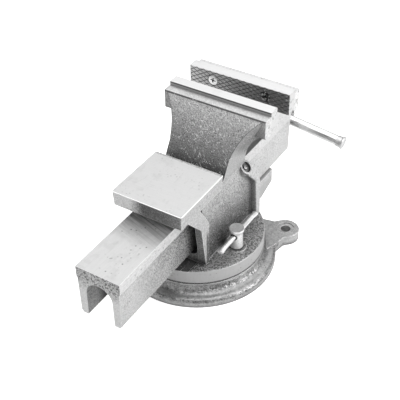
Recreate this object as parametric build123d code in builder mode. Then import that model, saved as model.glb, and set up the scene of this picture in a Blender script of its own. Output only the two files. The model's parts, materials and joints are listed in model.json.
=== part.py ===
# Bench vise with swivel base and anvil, jaws 125 mm wide.
#
# Frame: millimetres, +Z up. The origin lies on the swivel axis in the face that rests on the bench.
# The screw runs along Y: the moving jaw and its bar are towards -Y, the anvil and the slide's tail
# towards +Y. Left is -X, as seen by someone who stands in front of the bar and looks along +Y.
from build123d import *
from math import atan2, cos, degrees, radians, sin, sqrt, tan
import os

os.makedirs("parts", exist_ok=True)

# Cuts run past the faces they open by this much.
overrun = 5.0

# Fits.
slide_clearance = 0.10
running_clearance = 0.05
bolt_clearance = 0.08
seat_clearance = 0.30

# Heights, from the bench up: the swivel seat, the turntable, the slide, the anvil and the jaws.
seat_z = 22.3
table_thickness = 17.3
floor_thickness = 8.3
slide_height = 60.0
anvil_rise = 28.6
jaw_rise = 72.0
head_height = 22.0
plate_step = 5.0

# Jaws.
jaw_width = 125.0
plate_height = 26.0
plate_thickness = 13.0
fixed_face_y = -60.0
jaw_gap = 28.0
head_depth = 12.0
throat_setback = 20.0
head_edge_r = 1.2

# Screw, its nut and its bar.
screw_r = 9.5
shank_step = 0.5
nut_wall = 3.0
collar_wall = 3.8
spindle_length = 358.0
screw_tip_chamfer = 2.0
bar_offset = 22.0
bar_end_room = 16.0
bar_r = 4.5
bar_tilt = 7.2
bar_half = 86.0
cap_step = 1.8

# Slide, an upturned U round the screw. A milled band along its top stands out from the cast legs.
channel_room = 1.8
channel_draft = 0.4
slide_wall = 10.4
slide_band = 13.0
slide_band_step = 1.1
slide_draft = 0.7
slide_length = 351.8
slide_overhang = 85.0
leg_chamfer = 2.4
front_wall = 23.0

# Body walls, from the slide out to the swivel locks.
wall_foot_thickness = 14.0
wall_top_thickness = 11.0
lock_wall_room = 14.5

# Turntable and base.
table_flange = 21.2
base_flange_width = 13.7
skirt_width = 13.6
rim_height = 5.0
lug_reach = 16.9
lug_angle = 46.4
lug_end_r = 15.5
lug_thickness = 12.5
lug_hole_r = 5.75

# Swivel locks, one on each side.
lock_y = 7.0
lock_shank_r = 6.0
lock_head_step = 2.2
lock_height = 26.4
handle_height = 17.4
handle_r = 2.8
handle_half = 38.5
handle_shift = 3.6

# Places that follow from the sizes above.
table_top_z = seat_z + table_thickness
floor_z = table_top_z + floor_thickness
slide_bottom_z = floor_z + slide_clearance
slide_top_z = slide_bottom_z + slide_height
screw_z = (slide_bottom_z + slide_top_z) / 2
anvil_top_z = slide_top_z + anvil_rise
head_top_z = slide_top_z + jaw_rise
head_bottom_z = head_top_z - head_height
plate_top_z = head_top_z + plate_step
plate_bottom_z = plate_top_z - plate_height
jaw_half = jaw_width / 2
fixed_back_y = fixed_face_y + plate_thickness
fixed_head_back_y = fixed_back_y + head_depth
fixed_throat_y = fixed_face_y + throat_setback
moving_face_y = fixed_face_y - jaw_gap
moving_back_y = moving_face_y - plate_thickness
moving_head_front_y = moving_back_y - head_depth
moving_throat_y = moving_face_y - throat_setback
shank_r = screw_r + shank_step
nut_half = screw_r + nut_wall
collar_r = shank_r + collar_wall
channel_half_top = collar_r + channel_room
channel_half_bottom = channel_half_top + channel_draft
slide_half_top = channel_half_top + slide_wall
slide_half_leg = slide_half_top - slide_band_step
slide_half_bottom = slide_half_leg - slide_draft
slide_band_z = slide_top_z - slide_band
slide_front_y = moving_face_y - slide_overhang
slide_tail_y = slide_front_y + slide_length
channel_end_y = slide_front_y + front_wall
bar_y = slide_front_y - bar_offset
spindle_head_front_y = bar_y - bar_end_room
screw_tail_y = spindle_head_front_y + spindle_length
wall_half_foot = slide_half_top + wall_foot_thickness
wall_half_top = slide_half_top + wall_top_thickness
lock_x = wall_half_foot + lock_wall_room
lock_head_r = lock_shank_r + lock_head_step
table_r = lock_x + table_flange
base_bore_r = table_r - base_flange_width
rim_r = table_r + skirt_width
lug_pitch_r = rim_r + lug_reach
cap_r = bar_r + cap_step
lock_top_z = table_top_z + lock_height
handle_z = table_top_z + handle_height


def flare_z(x, neck, start_z, tip, tip_z):
    """Height of a side arc that leaves the neck upright at start_z and ends at the tip."""
    reach = tip - neck
    radius = (reach**2 + (tip_z - start_z) ** 2) / (2 * reach)
    return start_z + sqrt(radius**2 - (radius - (x - neck)) ** 2)


def bowed_y(z, low, high, bow):
    """Y of a jaw's outer face at height z, between its low and high ends, bowed outwards."""
    share = (high[1] - z) / (high[1] - low[1])
    side = 1 if low[0] > high[0] else -1
    return high[0] + (low[0] - high[0]) * share + side * 4 * bow * share * (1 - share)


def wing_section(x, throat_y, low, high, bow, neck, tip, under_z, outer_z):
    """Corners in Y and Z of a jaw wing cut at x: its throat face, its lower edge and its back."""
    inner = (throat_y, flare_z(x, neck, under_z[0], tip, under_z[1]))
    back_z = flare_z(x, neck, outer_z[0], tip, outer_z[1])
    back = (bowed_y(back_z, low, high, bow), back_z)
    stretched = (
        inner[0] + (back[0] - inner[0]) * wing_stretch_share,
        inner[1] + (back[1] - inner[1]) * wing_stretch_share,
    )
    return [inner, stretched, (stretched[0], high[1] + overrun), (throat_y, high[1] + overrun)]


# Places along a wing, from the neck to the tip, and how far its sections reach past the back face.
wing_station_shares = (0.02, 0.15, 0.4, 0.7, 1.0)
wing_stretch_share = 1.06
wing_tip_inset = 4.0
wing_root_depth = 4.0
wing_tip_half = jaw_half - wing_tip_inset


# Base: a flared ring with two bolt lugs, hollow underneath.
base_flange_thickness = 8.3
base_wall = 5.7
base_foot_width = 8.8
base_foot_height = 4.0
base_lip_inset = 1.4
base_lip_gap = 0.9
base_lip_height = 3.0
base_lip_groove = 0.7
skirt_hollow_share = 0.6176
lug_flare_depth = 5.3
lug_flare_half = 25.0
lug_root_length = 14.0
lug_root_half = 30.0
lug_edge_r = 1.2
lug_neck_length = 8.2
lug_spot_r = 10.0
lug_spot_depth = 0.8
base_flange_bottom_z = seat_z - base_flange_thickness
base_cavity_r = table_r - base_wall
base_foot_inner_r = rim_r - base_foot_width
skirt_hollow_r = skirt_width * skirt_hollow_share
skirt_round_r = skirt_width - skirt_hollow_r
lug_flare_r = rim_r - lug_flare_depth
lug_root_r = lug_flare_r - lug_root_length
lug_neck_r = lug_pitch_r - lug_neck_length

with BuildPart() as lug:
    with BuildSketch():
        with BuildLine():
            Polyline(
                (lug_root_r, lug_root_half),
                (lug_flare_r, lug_flare_half),
                (lug_neck_r, lug_end_r),
                (lug_pitch_r, lug_end_r),
                (lug_pitch_r, -lug_end_r),
                (lug_neck_r, -lug_end_r),
                (lug_flare_r, -lug_flare_half),
                (lug_root_r, -lug_root_half),
                close=True,
            )
        make_face()
        with Locations((lug_pitch_r, 0)):
            Circle(lug_end_r)
    extrude(amount=lug_thickness)
    fillet(faces().sort_by(Axis.Z)[-1].edges(), lug_edge_r)

with BuildPart() as base:
    with BuildSketch(Plane.XZ) as base_ring:
        with BuildLine():
            skirt_top_z = rim_height + skirt_hollow_r + skirt_round_r
            skirt_middle = (table_r + skirt_hollow_r, rim_height + skirt_round_r)
            Polyline(
                (base_bore_r, base_flange_bottom_z),
                (base_bore_r, seat_z),
                (table_r - base_lip_inset, seat_z),
                (table_r - base_lip_inset, seat_z - base_lip_gap),
                (table_r, seat_z - base_lip_gap),
                (table_r, seat_z - base_lip_height),
                (table_r - base_lip_groove, seat_z - base_lip_height),
                (table_r, skirt_top_z),
            )
            TangentArc((table_r, skirt_top_z), skirt_middle, tangent=(0, -1))
            TangentArc(skirt_middle, (rim_r, rim_height), tangent=(1, 0))
            Polyline(
                (rim_r, rim_height),
                (rim_r, 0),
                (base_foot_inner_r, 0),
                (base_foot_inner_r, base_foot_height),
                (base_cavity_r, base_flange_bottom_z),
                (base_bore_r, base_flange_bottom_z),
            )
        make_face()
    revolve(axis=Axis.Z)
    with Locations(Rotation(0, 0, lug_angle), Rotation(0, 0, lug_angle + 180)):
        add(lug.part)
    with BuildSketch(Plane.XZ):
        with BuildLine():
            Polyline(
                (0, 0),
                (base_foot_inner_r, 0),
                (base_foot_inner_r, base_foot_height),
                (base_cavity_r, base_flange_bottom_z),
                (0, base_flange_bottom_z),
                close=True,
            )
        make_face()
    revolve(axis=Axis.Z, mode=Mode.SUBTRACT)
    with Locations((0, 0, lug_thickness)):
        with PolarLocations(lug_pitch_r, 2, lug_angle):
            CounterBoreHole(lug_hole_r, lug_spot_r, lug_spot_depth, lug_thickness + overrun)

base.part.label = "base"
export_step(base.part, "parts/base.step")

# Body: turntable, tunnel for the slide, fixed jaw and anvil, all one casting.
spigot_length = 7.3
spigot_lock_room = 8.5
recess_roof = 8.0
table_edge_r = 1.4
tunnel_roof = 14.0
tunnel_tail_y = 50.0
relief_room = 5.5
runout_depth = 0.8
relief_start_y = 4.0
relief_corner_r = 8.0
anvil_front_y = 14.4
anvil_length = 80.9
anvil_overhang = 16.0
anvil_thickness = 17.4
anvil_draft = 4.0
anvil_corner_r = 2.5
anvil_edge_r = 0.8
valley_depth = 0.5
valley_r = 3.6
jaw_back_gap = 9.4
jaw_back_rise = 2.5
jaw_back_bow = 3.2
wing_top_inset = 1.5
wing_under_inset = 1.0
wing_outer_rise = 14.0
shoulder_foot_in = 1.5
shoulder_low_out = 2.3
shoulder_low_rise = 0.5
shoulder_mid_in = 2.8
shoulder_mid_drop = 9.3
shoulder_rise = 10.5
pilaster_width = 8.0
pilaster_top_width = 6.5
pilaster_drop = 22.0
pilaster_crown = 9.0
pilaster_foot_out = 8.0
pilaster_root_depth = 3.0
pilaster_edge_r = 1.5
wall_foot_r = 1.6
pad_inset = 4.0
pad_drop = 4.0
facet_reach = 3.0
rib_foot_out = 2.0
rib_root_room = 1.5
rib_width = 6.0
rib_bend_width = 7.0
rib_bend_drop = 16.0
rib_knee_width = 4.0
rib_knee_drop = 9.0
rib_reach_length = 14.0
rib_tail_length = 32.0
nose_ledge = 1.0
nose_length = 68.5
nose_lip_drop = 16.4
nose_slope_length = 26.5
nose_seat_gap = 0.5
nose_edge_r = 2.0
lock_boss_r = 11.0
lock_boss_height = 0.8
nut_front_y = 5.0
nut_length = 40.0
nut_seat_depth = 1.2
nut_bolt_r = 6.0
guide_boss_r = 8.2
guide_bore_r = 6.2
guide_bore_depth = 3.6
guide_boss_out = 0.2
guide_boss_in = 7.0
guide_screw_r = 2.5
guide_out = 3.5
guide_back = 3.5
guide_rise = 6.5
plate_screw_x = 33.0
plate_screw_drop = 12.0
plate_screw_r = 3.0
plate_screw_length = 22.0
plate_screw_room = 1.2

# Places on the body. Points are in Y and Z.
spigot_bottom_z = seat_z - spigot_length
spigot_inner_r = lock_x - spigot_lock_room
recess_top_z = table_top_z - recess_roof
wall_top_z = slide_top_z + tunnel_roof
relief_half = slide_half_top + relief_room
anvil_tail_y = anvil_front_y + anvil_length
anvil_half = slide_half_top + anvil_overhang
anvil_bottom_z = anvil_top_z - anvil_thickness
anvil_half_under = anvil_half - anvil_thickness * tan(radians(anvil_draft))
valley_z = wall_top_z - valley_depth
jaw_back_high = (fixed_head_back_y, head_top_z - wing_top_inset)
jaw_back_low = (anvil_front_y - jaw_back_gap, valley_z + jaw_back_rise)
wing_under_z = (wall_top_z, head_bottom_z - wing_under_inset)
wing_outer_z = (wall_top_z + wing_outer_rise, head_top_z - wing_top_inset)
shoulder_foot_y = fixed_face_y + shoulder_foot_in
shoulder_low = (fixed_face_y - shoulder_low_out, screw_z + shoulder_low_rise)
shoulder_mid = (fixed_face_y + shoulder_mid_in, slide_top_z - shoulder_mid_drop)
shoulder_high = (fixed_throat_y, slide_top_z + shoulder_rise)
guide_point = (wall_half_top + guide_out, fixed_throat_y + guide_back, slide_top_z + guide_rise)
pilaster_half_foot = wall_half_foot + pilaster_foot_out
pilaster_root = wall_half_top - pilaster_root_depth
pilaster_back_foot = (shoulder_foot_y + pilaster_width, table_top_z)
pilaster_back_high = (shoulder_foot_y + pilaster_top_width, slide_top_z - pilaster_drop)
pilaster_pad = (fixed_throat_y + pad_inset, slide_top_z - pad_drop)
pilaster_crown_y = fixed_throat_y + pilaster_crown
facet_rise = shoulder_high[1] - guide_point[2]
facet_low = (guide_point[0] + facet_reach, guide_point[2] - facet_reach)
facet_high = (guide_point[0] - facet_rise, shoulder_high[1])
rib_half_foot = wall_half_foot + rib_foot_out
rib_root = relief_half + rib_root_room
rib_foot = (tunnel_tail_y - rib_width, table_top_z)
rib_bend = (tunnel_tail_y - rib_bend_width, slide_top_z - rib_bend_drop)
rib_knee = (tunnel_tail_y - rib_knee_width, slide_top_z - rib_knee_drop)
rib_reach = (tunnel_tail_y + rib_reach_length, (anvil_top_z + anvil_bottom_z) / 2)
rib_tail = (tunnel_tail_y + rib_tail_length, anvil_bottom_z)
rib_tail_knee = (tunnel_tail_y + rib_bend_width, slide_top_z - rib_bend_drop)
nose_half = slide_half_top + nose_ledge
nose_front_y = fixed_face_y - nose_length
nose_lip_z = floor_z - nose_lip_drop
nose_slope_y = nose_front_y + nose_slope_length
nose_bottom_z = seat_z + nose_seat_gap
plate_screw_z = plate_top_z - plate_screw_drop
nut_middle_y = nut_front_y + nut_length / 2


def slide_outline(grow):
    """Outline of the slide in X and Z, grown by a clearance."""
    with BuildSketch(Plane.XZ) as outline:
        with BuildLine():
            Polyline(
                (-slide_half_bottom + leg_chamfer, slide_bottom_z),
                (-slide_half_bottom, slide_bottom_z + leg_chamfer),
                (-slide_half_leg, slide_band_z - slide_band_step),
                (-slide_half_top, slide_band_z),
                (-slide_half_top, slide_top_z),
                (slide_half_top, slide_top_z),
                (slide_half_top, slide_band_z),
                (slide_half_leg, slide_band_z - slide_band_step),
                (slide_half_bottom, slide_bottom_z + leg_chamfer),
                (slide_half_bottom - leg_chamfer, slide_bottom_z),
                close=True,
            )
        make_face()
        if grow:
            offset(amount=grow, kind=Kind.INTERSECTION)
    return outline.sketch


def half_wing(throat_y, low, high, bow, neck, under_z, outer_z):
    """One jaw wing on the +X side, lofted from inside the neck to its tip."""
    with BuildPart() as wing:
        for share in wing_station_shares:
            x = neck + (wing_tip_half - neck) * share
            corners = wing_section(x, throat_y, low, high, bow, neck, wing_tip_half, under_z, outer_z)
            with BuildSketch(Plane.YZ.offset(x)):
                with BuildLine():
                    Polyline(*corners, close=True)
                make_face()
        loft()
        extrude(faces().sort_by(Axis.X)[0], amount=wing_root_depth)
    return wing.part


with BuildPart() as fixed_wing:
    add(
        half_wing(
            fixed_throat_y, jaw_back_low, jaw_back_high, jaw_back_bow, wall_half_top, wing_under_z, wing_outer_z
        )
    )
    with BuildSketch(Plane.YZ):
        with BuildLine():
            back_mid_z = (jaw_back_low[1] + jaw_back_high[1]) / 2
            back_mid = (bowed_y(back_mid_z, jaw_back_low, jaw_back_high, jaw_back_bow), back_mid_z)
            ThreePointArc(jaw_back_high, back_mid, jaw_back_low)
            Polyline(
                jaw_back_low,
                (jaw_back_low[0], table_top_z),
                (fixed_throat_y - overrun, table_top_z),
                (fixed_throat_y - overrun, jaw_back_high[1]),
                jaw_back_high,
            )
        make_face()
    extrude(amount=jaw_half, mode=Mode.INTERSECT)

with BuildPart() as core:
    with BuildSketch(Plane.YZ):
        with BuildLine():
            Line((shoulder_foot_y, table_top_z), shoulder_low)
            ThreePointArc(shoulder_low, shoulder_mid, shoulder_high)
            Polyline(shoulder_high, (fixed_throat_y, jaw_back_high[1]), jaw_back_high)
            ThreePointArc(jaw_back_high, back_mid, jaw_back_low)
            valley_y = jaw_back_low[0] + valley_r
            valley_floor = (valley_y, valley_z)
            Line(jaw_back_low, valley_floor)
            Polyline(
                valley_floor,
                (tunnel_tail_y, valley_z),
                (tunnel_tail_y, table_top_z),
                (shoulder_foot_y, table_top_z),
            )
        make_face()
    extrude(amount=wall_half_foot, both=True)
    with BuildSketch(Plane.XZ):
        with BuildLine():
            Polyline(
                (-wall_half_foot, table_top_z),
                (-wall_half_top, wall_top_z),
                (-wall_half_top, head_top_z),
                (wall_half_top, head_top_z),
                (wall_half_top, wall_top_z),
                (wall_half_foot, table_top_z),
                close=True,
            )
        make_face()
    extrude(amount=-shoulder_foot_y * 2, both=True, mode=Mode.INTERSECT)

with BuildPart() as pilaster:
    with BuildSketch(Plane.YZ.offset(pilaster_root)):
        with BuildLine():
            Line((shoulder_foot_y, table_top_z), shoulder_low)
            ThreePointArc(shoulder_low, shoulder_mid, shoulder_high)
            crown = (pilaster_crown_y, shoulder_high[1])
            Line(shoulder_high, crown)
            Polyline(
                crown,
                pilaster_pad,
                pilaster_back_high,
                pilaster_back_foot,
                (shoulder_foot_y, table_top_z),
            )
        make_face()
    extrude(amount=pilaster_half_foot - pilaster_root)
    with BuildSketch(Plane.XZ):
        with BuildLine():
            Polyline(
                (0, table_top_z),
                (pilaster_half_foot, table_top_z),
                facet_low,
                facet_high,
                (0, shoulder_high[1]),
                close=True,
            )
        make_face()
    extrude(amount=-shoulder_foot_y * 2, both=True, mode=Mode.INTERSECT)
    outer_edges = faces().sort_by(Axis.X)[-1].edges()
    fillet(outer_edges - outer_edges.filter_by(Axis.Y), pilaster_edge_r)

with BuildPart() as rear_rib:
    with BuildSketch(Plane.YZ.offset(rib_root)):
        with BuildLine():
            Polyline(
                rib_foot,
                rib_bend,
                rib_knee,
                rib_reach,
                (rib_tail[0], rib_reach[1]),
                rib_tail,
                rib_tail_knee,
                (tunnel_tail_y, table_top_z),
                close=True,
            )
        make_face()
    extrude(amount=rib_half_foot - rib_root)
    with BuildSketch(Plane.XZ):
        with BuildLine():
            Polyline(
                (0, table_top_z),
                (rib_half_foot, table_top_z),
                (anvil_half_under, anvil_bottom_z),
                (anvil_half_under, rib_reach[1]),
                (0, rib_reach[1]),
                close=True,
            )
        make_face()
    extrude(amount=-anvil_tail_y, both=True, mode=Mode.INTERSECT)

with BuildPart() as anvil_block:
    anvil_middle_y = (anvil_front_y + anvil_tail_y) / 2
    anvil_plane = Plane(origin=(0, anvil_middle_y, anvil_top_z), x_dir=(1, 0, 0), z_dir=(0, 0, -1))
    with BuildSketch(anvil_plane):
        RectangleRounded(2 * anvil_half, anvil_tail_y - anvil_front_y, anvil_corner_r)
    extrude(amount=anvil_thickness, taper=anvil_draft)
    fillet(faces().sort_by(Axis.Z)[-1].edges(), anvil_edge_r)

with BuildPart() as fixed_head:
    with BuildSketch(Plane.YZ):
        with Locations(((fixed_back_y + fixed_head_back_y) / 2, (head_bottom_z + head_top_z) / 2)):
            Rectangle(head_depth, head_top_z - head_bottom_z)
    extrude(amount=jaw_half, both=True)
    fillet(edges().filter_by(GeomType.LINE).sort_by(Axis.Y)[-4:], head_edge_r)

with BuildPart() as nose:
    with BuildSketch(Plane.YZ):
        with BuildLine():
            Polyline(
                (shoulder_foot_y, floor_z),
                (nose_front_y, floor_z),
                (nose_front_y, nose_lip_z),
                (nose_slope_y, nose_bottom_z),
                (shoulder_foot_y, nose_bottom_z),
                close=True,
            )
        make_face()
    extrude(amount=nose_half, both=True)
    fillet(edges().filter_by(Axis.Z).sort_by(Axis.Y)[:2], nose_edge_r)

with BuildPart() as vise_body:
    with BuildSketch(Plane.XY.offset(seat_z)):
        Circle(table_r)
    extrude(amount=table_top_z - seat_z)
    fillet(edges().sort_by(Axis.Z)[-1:], table_edge_r)
    with BuildSketch(Plane.XY.offset(spigot_bottom_z)):
        Circle(base_bore_r - bolt_clearance)
    extrude(amount=seat_z - spigot_bottom_z)
    add(core.part)
    add(nose.part)
    add(anvil_block.part)
    add(fixed_head.part)
    for side_part in (fixed_wing.part, pilaster.part, rear_rib.part):
        add(side_part)
        add(mirror(side_part, about=Plane.YZ, mode=Mode.PRIVATE))
    foot_edges = edges().filter_by(Axis.Y)
    foot_edges = foot_edges.filter_by_position(Axis.Z, table_top_z - wall_foot_r, table_top_z + wall_foot_r)
    for side in (-1, 1):
        foot_x = side * wall_half_foot
        fillet(foot_edges.filter_by_position(Axis.X, foot_x - wall_foot_r, foot_x + wall_foot_r), wall_foot_r)
    for side in (-1, 1):
        with BuildSketch(Plane.XY.offset(table_top_z)):
            with Locations((side * lock_x, lock_y)):
                Circle(lock_boss_r)
        extrude(amount=lock_boss_height)
        boss_plane = Plane(
            origin=(side * guide_point[0], guide_point[1], guide_point[2]), x_dir=(0, 1, 0), z_dir=(side, 0, 1)
        )
        with BuildSketch(boss_plane.offset(-guide_boss_in)):
            Circle(guide_boss_r)
        extrude(amount=guide_boss_in + guide_boss_out)
        with BuildSketch(boss_plane.offset(guide_boss_out)):
            Circle(guide_bore_r)
        extrude(amount=-guide_bore_depth, mode=Mode.SUBTRACT)
        with BuildSketch(boss_plane.offset(guide_boss_out)):
            Circle(guide_screw_r + running_clearance)
        extrude(amount=-guide_point[0], mode=Mode.SUBTRACT)
    extrude(slide_outline(slide_clearance), amount=slide_tail_y, both=True, mode=Mode.SUBTRACT)
    with BuildSketch(Plane.XZ.offset(-relief_start_y)):
        with Locations((0, (floor_z + slide_top_z) / 2)):
            RectangleRounded(2 * relief_half, slide_top_z - floor_z + 2 * slide_clearance, relief_corner_r)
    extrude(amount=-anvil_tail_y, mode=Mode.SUBTRACT)
    with BuildSketch(Plane.XY.offset(table_top_z)):
        with Locations((0, tunnel_tail_y + table_r / 2)):
            Rectangle(2 * relief_half, table_r)
    extrude(amount=-runout_depth, mode=Mode.SUBTRACT)
    with BuildSketch(Plane.XY.offset(spigot_bottom_z)):
        Circle(spigot_inner_r)
    extrude(amount=recess_top_z - spigot_bottom_z, mode=Mode.SUBTRACT)
    with BuildSketch(Plane.XY.offset(floor_z)):
        with Locations((0, nut_middle_y)):
            Rectangle(2 * (nut_half + seat_clearance), nut_length + 2 * seat_clearance)
    extrude(amount=-nut_seat_depth, mode=Mode.SUBTRACT)
    with BuildSketch(Plane.XY.offset(floor_z)):
        with Locations((0, nut_middle_y)):
            Circle(nut_bolt_r + bolt_clearance)
    extrude(amount=-floor_z, mode=Mode.SUBTRACT)
    with BuildSketch(Plane.XY.offset(table_top_z + lock_boss_height)):
        with Locations((-lock_x, lock_y), (lock_x, lock_y)):
            Circle(lock_shank_r + bolt_clearance)
    extrude(amount=-table_top_z, mode=Mode.SUBTRACT)
    with BuildSketch(Plane.XZ.offset(-fixed_back_y)):
        with Locations(*[(side * plate_screw_x, plate_screw_z) for side in (-1, 1)]):
            Circle(plate_screw_r + running_clearance)
    extrude(amount=-(plate_screw_length - plate_thickness + plate_screw_room), mode=Mode.SUBTRACT)

vise_body.part.label = "vise_body"
export_step(vise_body.part, "parts/vise_body.step")

# Moving jaw: the slide, the neck, the head and the boss for the screw, all one casting.
neck_root_depth = 8.0
neck_foot_rise = 4.0
neck_front_bow = -4.5
neck_under_inset = 2.0
neck_outer_rise = 12.0
moving_head_slant = 3.5
screw_boss_step = 12.0
screw_boss_length = 4.0
screw_boss_edge_r = 1.0
front_edge_r = 1.5
neck_half = slide_half_top
neck_root_z = slide_top_z - neck_root_depth
neck_foot_z = slide_top_z + neck_foot_rise
neck_front_high = (moving_head_front_y, head_top_z - wing_top_inset)
neck_front_low = (slide_front_y, neck_foot_z)
neck_under_z = (neck_foot_z, head_bottom_z - neck_under_inset)
neck_outer_z = (neck_foot_z + neck_outer_rise, head_top_z - wing_top_inset)
channel_r = channel_half_top
screw_boss_r = shank_r + screw_boss_step
screw_boss_front_y = slide_front_y - screw_boss_length

with BuildPart() as moving_wing:
    add(
        half_wing(
            moving_throat_y, neck_front_low, neck_front_high, neck_front_bow, neck_half, neck_under_z, neck_outer_z
        )
    )
    with BuildSketch(Plane.YZ):
        with BuildLine():
            front_mid_z = (neck_front_low[1] + neck_front_high[1]) / 2
            front_mid = (bowed_y(front_mid_z, neck_front_low, neck_front_high, neck_front_bow), front_mid_z)
            ThreePointArc(neck_front_high, front_mid, neck_front_low)
            Polyline(
                neck_front_low,
                (neck_front_low[0], neck_root_z),
                (moving_throat_y + overrun, neck_root_z),
                (moving_throat_y + overrun, neck_front_high[1]),
                neck_front_high,
            )
        make_face()
    extrude(amount=jaw_half, mode=Mode.INTERSECT)

with BuildPart() as moving_head:
    with BuildSketch(Plane.YZ):
        with BuildLine():
            Polyline(
                (moving_back_y, head_bottom_z - moving_head_slant),
                (moving_back_y, head_top_z),
                (moving_head_front_y, head_top_z),
                (moving_head_front_y, head_bottom_z),
                close=True,
            )
        make_face()
    extrude(amount=jaw_half, both=True)
    fillet(edges().filter_by(GeomType.LINE).sort_by(Axis.Y)[:4], head_edge_r)

with BuildPart() as moving_jaw:
    extrude(slide_outline(0), amount=-slide_tail_y)
    extrude(slide_outline(0), amount=-slide_front_y)
    with BuildSketch(Plane.YZ):
        with BuildLine():
            ThreePointArc(neck_front_high, front_mid, neck_front_low)
            Polyline(
                neck_front_low,
                (neck_front_low[0], neck_root_z),
                (moving_throat_y, neck_root_z),
                (moving_throat_y, neck_front_high[1]),
                neck_front_high,
            )
        make_face()
    extrude(amount=neck_half, both=True)
    add(moving_head.part)
    add(moving_wing.part)
    add(mirror(moving_wing.part, about=Plane.YZ, mode=Mode.PRIVATE))
    fillet(edges().filter_by(Axis.Z).filter_by_position(Axis.Y, slide_front_y, slide_front_y), front_edge_r)
    with BuildSketch(Plane.XZ.offset(-slide_front_y)):
        with Locations((0, screw_z)):
            Circle(screw_boss_r)
    extrude(amount=screw_boss_length)
    fillet(edges().filter_by(GeomType.CIRCLE).sort_by(Axis.Y)[:1], screw_boss_edge_r)
    with BuildSketch(Plane.XZ.offset(-slide_tail_y)):
        with BuildLine():
            Polyline(
                (-channel_r, screw_z),
                (-channel_half_bottom, slide_bottom_z),
                (-channel_half_bottom, slide_bottom_z - overrun),
                (channel_half_bottom, slide_bottom_z - overrun),
                (channel_half_bottom, slide_bottom_z),
                (channel_r, screw_z),
            )
            ThreePointArc((channel_r, screw_z), (0, screw_z + channel_r), (-channel_r, screw_z))
        make_face()
    extrude(amount=slide_tail_y - channel_end_y, mode=Mode.SUBTRACT)
    with BuildSketch(Plane.XZ.offset(-screw_boss_front_y)):
        with Locations((0, screw_z)):
            Circle(shank_r + running_clearance)
    extrude(amount=screw_boss_front_y - channel_end_y, mode=Mode.SUBTRACT)
    with BuildSketch(Plane.XZ.offset(-moving_back_y)):
        with Locations((-plate_screw_x, plate_screw_z), (plate_screw_x, plate_screw_z)):
            Circle(plate_screw_r + running_clearance)
    extrude(amount=plate_screw_length - plate_thickness + plate_screw_room, mode=Mode.SUBTRACT)

moving_jaw.part.label = "moving_jaw"
export_step(moving_jaw.part, "parts/moving_jaw.step")

# Jaw plates, each held by two countersunk screws.
plate_edge = 0.8
plate_screw_head_r = 6.25
plate_screw_head_depth = 3.4
plate_screw_sink = 0.4
plate_places = ((fixed_face_y, 1), (moving_face_y, -1))


def jaw_plate(face_y, back):
    """A jaw plate whose gripping face lies at face_y and whose back faces the sign of back."""
    with BuildPart() as plate:
        with BuildSketch(Plane.XZ.offset(-face_y)):
            with Locations((0, (plate_top_z + plate_bottom_z) / 2)):
                Rectangle(jaw_width, plate_height)
        extrude(amount=-back * plate_thickness)
        chamfer(faces().sort_by(Axis.Z)[-1].edges().filter_by(Axis.X), plate_edge)
        sink_plane = Plane(origin=(0, face_y, 0), x_dir=(1, 0, 0), z_dir=(0, -back, 0))
        with Locations(sink_plane):
            with Locations((plate_screw_x, back * plate_screw_z), (-plate_screw_x, back * plate_screw_z)):
                CounterSinkHole(plate_screw_r + bolt_clearance, plate_screw_head_r + bolt_clearance, plate_thickness)
    return plate


def plate_screws(face_y, back):
    """The two countersunk screws of a jaw plate, heads just under its face."""
    with BuildPart() as screws:
        for x in (-plate_screw_x, plate_screw_x):
            axis_plane = Plane(origin=(x, face_y, plate_screw_z), x_dir=(1, 0, 0), z_dir=(0, 0, 1))
            with BuildSketch(axis_plane):
                with BuildLine():
                    Polyline(
                        (0, back * plate_screw_sink),
                        (plate_screw_head_r - plate_screw_sink, back * plate_screw_sink),
                        (plate_screw_r, back * plate_screw_head_depth),
                        (plate_screw_r, back * plate_screw_length),
                        (0, back * plate_screw_length),
                        close=True,
                    )
                make_face()
            revolve(axis=Axis((x, face_y, plate_screw_z), (0, 1, 0)))
    return screws


fixed_jaw_plate = jaw_plate(*plate_places[0])
fixed_jaw_plate.part.label = "fixed_jaw_plate"
export_step(fixed_jaw_plate.part, "parts/fixed_jaw_plate.step")

moving_jaw_plate = jaw_plate(*plate_places[1])
moving_jaw_plate.part.label = "moving_jaw_plate"
export_step(moving_jaw_plate.part, "parts/moving_jaw_plate.step")

fixed_jaw_screws = plate_screws(*plate_places[0])
fixed_jaw_screws.part.label = "fixed_jaw_screws"
export_step(fixed_jaw_screws.part, "parts/fixed_jaw_screws.step")

moving_jaw_screws = plate_screws(*plate_places[1])
moving_jaw_screws.part.label = "moving_jaw_screws"
export_step(moving_jaw_screws.part, "parts/moving_jaw_screws.step")

# Main screw: head with a cross hole for the bar, thrust collar, shank and threaded length.
spindle_head_step = 4.5
spindle_dome_r = 5.0
spindle_neck_step = 1.5
spindle_neck_length = 3.5
spindle_collar_step = 7.0
spindle_head_r = shank_r + spindle_head_step
spindle_neck_r = shank_r + spindle_neck_step
spindle_collar_r = shank_r + spindle_collar_step
spindle_collar_length = 5.0
washer_length = 2.0
spindle_collar_y = screw_boss_front_y - washer_length - spindle_collar_length
pin_r = 2.0
collar_length = 9.0
collar_start_y = channel_end_y + seat_clearance
pin_y = collar_start_y + collar_length / 2
thread_relief = 3.0
spindle_thread_y = collar_start_y + collar_length + thread_relief
bar_direction = (cos(radians(bar_tilt)), 0, sin(radians(bar_tilt)))
bar_plane = Plane(origin=(0, bar_y, screw_z), x_dir=(0, 1, 0), z_dir=bar_direction)

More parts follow.
